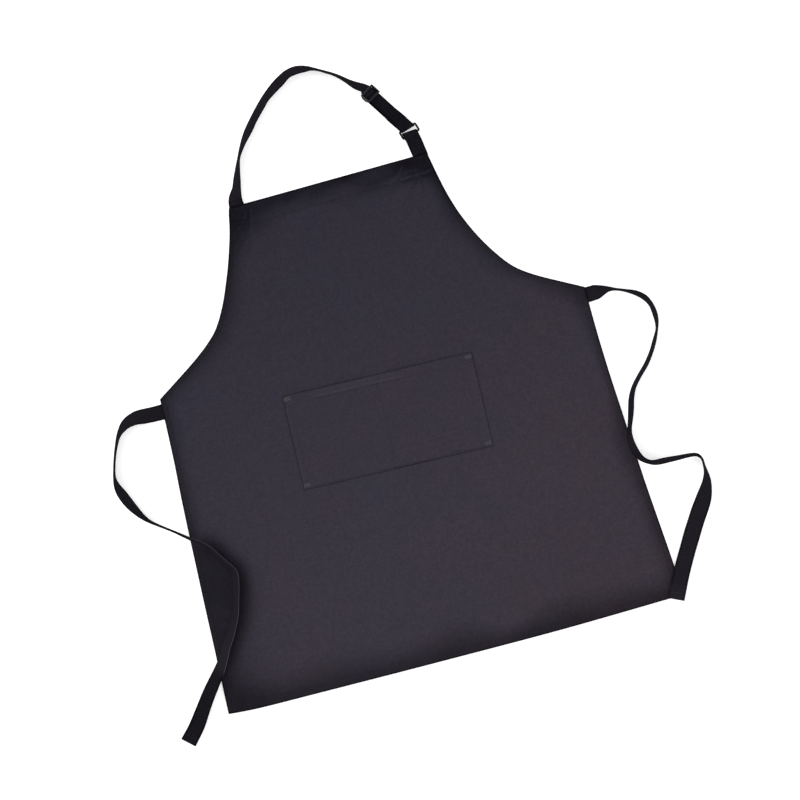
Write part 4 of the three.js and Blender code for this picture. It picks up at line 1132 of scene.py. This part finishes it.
tput(foot - np.array([0, TAIL_BIB, 0]) + ZUP * 1.78, 1)
tab_P = catmull(tab_pts, N)
tw = np.interp(np.linspace(0, len(tab_w) - 1, len(tab_P)), np.arange(len(tab_w)), tab_w)[:, None]
slack = RING_DIR * math.cos(math.radians(12.0)) - RING_UP * math.sin(math.radians(12.0))
tab_A = unit(slack * (1 - tw) + foot_dir * tw)
tab = web("ring_tab_webbing", tab_P, tab_A, step=1.0, mat=WEB_TAB)
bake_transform(tab)
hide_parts("ring_tab", "ring_tab_sewn_end")


# -------------------------------------------------------------- slider and ring
def moulded(name, node, body, voxel, rounds):
    """The CAD piece with its edges rounded over, as moulded plastic is."""
    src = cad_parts[node]
    o = bpy.data.objects.new(name, src.data.copy())
    scene.collection.objects.link(o)
    o.data.materials.clear()
    m = o.modifiers.new("remesh", "REMESH")
    m.mode = "VOXEL"
    m.voxel_size = voxel * MM
    m.use_smooth_shade = True
    m = o.modifiers.new("soften", "SMOOTH")
    m.factor = 0.5
    m.iterations = rounds
    dg = bpy.context.evaluated_depsgraph_get()
    me = bpy.data.meshes.new_from_object(o.evaluated_get(dg))
    o.modifiers.clear()
    o.data = me
    me.name = name
    me.materials.clear()
    me.materials.append(PLASTIC)
    me.polygons.foreach_set("use_smooth", np.ones(len(me.polygons), bool))
    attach(o, body)
    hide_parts(node)
    return o


moulded("slider_moulding", "slider_buckle", "slider", 0.30, 5)
ring_piece = moulded("ring_moulding", "ring", "ring_body", 0.28, 6)
ring_piece.data.materials[0] = RING_PLASTIC


# -------------------------------------------------------------------- waist ties
def tie(name, i, s, P, A, node, end_node, sewn_node, body):
    x0, y0 = TIE_ROOT_X[i], TIE_ROOT_Y[i]
    tail = [(x0 - s * TAIL_TIE, y0, 0.70), (x0 - s * 8, y0, 0.70), (x0 + s * 2, y0, 0.70), (x0 + s * 8, y0, 0.70)]
    keep = P[:, 0] * s > (x0 + s * 15) * s if s < 0 else P[:, 0] > x0 + 15
    k0 = int(np.argmax(keep))
    pts = catmull(tail + [tuple(P[k0])], 8)[:-1]
    flat_a = np.array([0.0, 1.0 if s > 0 else -1.0, 0.0])
    flat_a = flat_a if np.dot(flat_a, A[k0]) > 0 else -flat_a
    allP = np.vstack([pts, P[k0:]])
    allA = np.vstack([np.repeat(flat_a[None], len(pts), 0), A[k0:]])
    allP, allA = resample(allP, 2.0, allA)
    allP = smooth(allP, 2)
    allA = unit(smooth(allA, 6))
    s_all = lengths(allP)
    end = s_all[-1]
    # the end is turned under and sewn: two thicknesses over the last 13 mm
    fold = step_up(s_all, end - 14.0, end - 12.6)
    T = unit(np.gradient(allP, axis=0))
    U = unit(np.cross(T, allA))
    up_sign = np.sign(U[:, 2])[:, None]
    allP = allP + U * up_sign * (fold * 0.42)[:, None]
    on_panel = (allP[:, 0] * s < (xr_at(allP[:, 1]) if s > 0 else -xl_at(allP[:, 1]))) & (s_all > 60)
    touch = smooth(on_panel.astype(float), 12)
    # painted light: the face lighter where the tape lies over the panel, and lighter overall along the right tie and
    # the start of the left tie; a painted highlight on the left tie's upper selvedge where it lies over the panel
    def lighten_and_highlight(q):
        t = np.interp(q, s_all, touch)
        base = 0.13 * (1 - step_up(q, 90, 170)) if s < 0 else 0.25
        return (np.maximum(0.55 * t, base), t * (1.0 if s < 0 else 0.0))
    # the flat end reads a little wider than the webbing elsewhere
    wide = STRAP_W + (1.0 if s < 0 else 2.0) * step_up(s_all, end - 185, end - 140)
    o = ribbon(name, allP, allA, WEB_LEFT if s < 0 else WEB, width=wide, thick=1.0 + 0.85 * fold, cup=0.35 * (1 - fold), edge_wave=0.3, lighten_and_highlight=lighten_and_highlight)
    # its row of stitching
    at = allP[int(np.argmin(np.abs(s_all - (end - 9.5))))]
    k = int(np.argmin(np.abs(s_all - (end - 9.5))))
    n = U[k] * up_sign[k]
    row = np.array([at + n * 0.95 + allA[k] * v for v in np.linspace(-9.8, 9.8, 24)])
    th = stitches(name + "_end_thread", row, None, POCKET_THREAD, normal=n, sink=0.05)
    path = allP
    L = float(lengths(path)[-1]) * MM
    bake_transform(o)
    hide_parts(node, sewn_node)
    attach(th, body)
    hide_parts(end_node)
    print("TIE", name, "length", round(L, 4))
    return o


tie("tie_webbing_left", 0, -1, tie_l_P, tie_l_A, "tie_left", "tie_end_stitch_left", "tie_sewn_end_left", "left_tie")
tie("tie_webbing_right", 1, 1, tie_r_P, tie_r_A, "tie_right", "tie_end_stitch_right", "tie_sewn_end_right", "right_tie")

# --------------------------------------------------------------- floor and light
kf = Nodes("studio_floor")
kf.finish((0.9, 0.9, 0.9, 1.0), 0.9, None, Specular_IOR_Level=0.0, Emission_Color=(1.0, 1.0, 1.0, 1.0), Emission_Strength=0.42)
bpy.ops.mesh.primitive_plane_add(size=14, location=(0, 0, -0.0004))
floor = bpy.context.object
floor.name = "floor"
floor.data.materials.append(kf.mat)

world = bpy.data.worlds.new("studio")
scene.world = world
world.use_nodes = True
world.node_tree.nodes["Background"].inputs[0].default_value = (1, 1, 1, 1)
world.node_tree.nodes["Background"].inputs[1].default_value = 0.93


def area_light(name, at, aim, size, power):
    d = bpy.data.lights.new(name, "AREA")
    d.shape = "SQUARE"
    d.size = size
    d.energy = power
    o = bpy.data.objects.new(name, d)
    o.location = at
    o.rotation_euler = (Vector(aim) - Vector(at)).to_track_quat("-Z", "Y").to_euler()
    scene.collection.objects.link(o)
    return o


area_light("key", (-1.7, 1.5, 1.6), (0, 0, 0), 1.3, 30)
area_light("fill", (1.8, -1.2, 2.2), (0, 0, 0), 2.4, 12)

scene.view_settings.view_transform = "Standard"
scene.view_settings.look = "None"
scene.view_settings.exposure = 0.0
scene.view_settings.gamma = 1.0
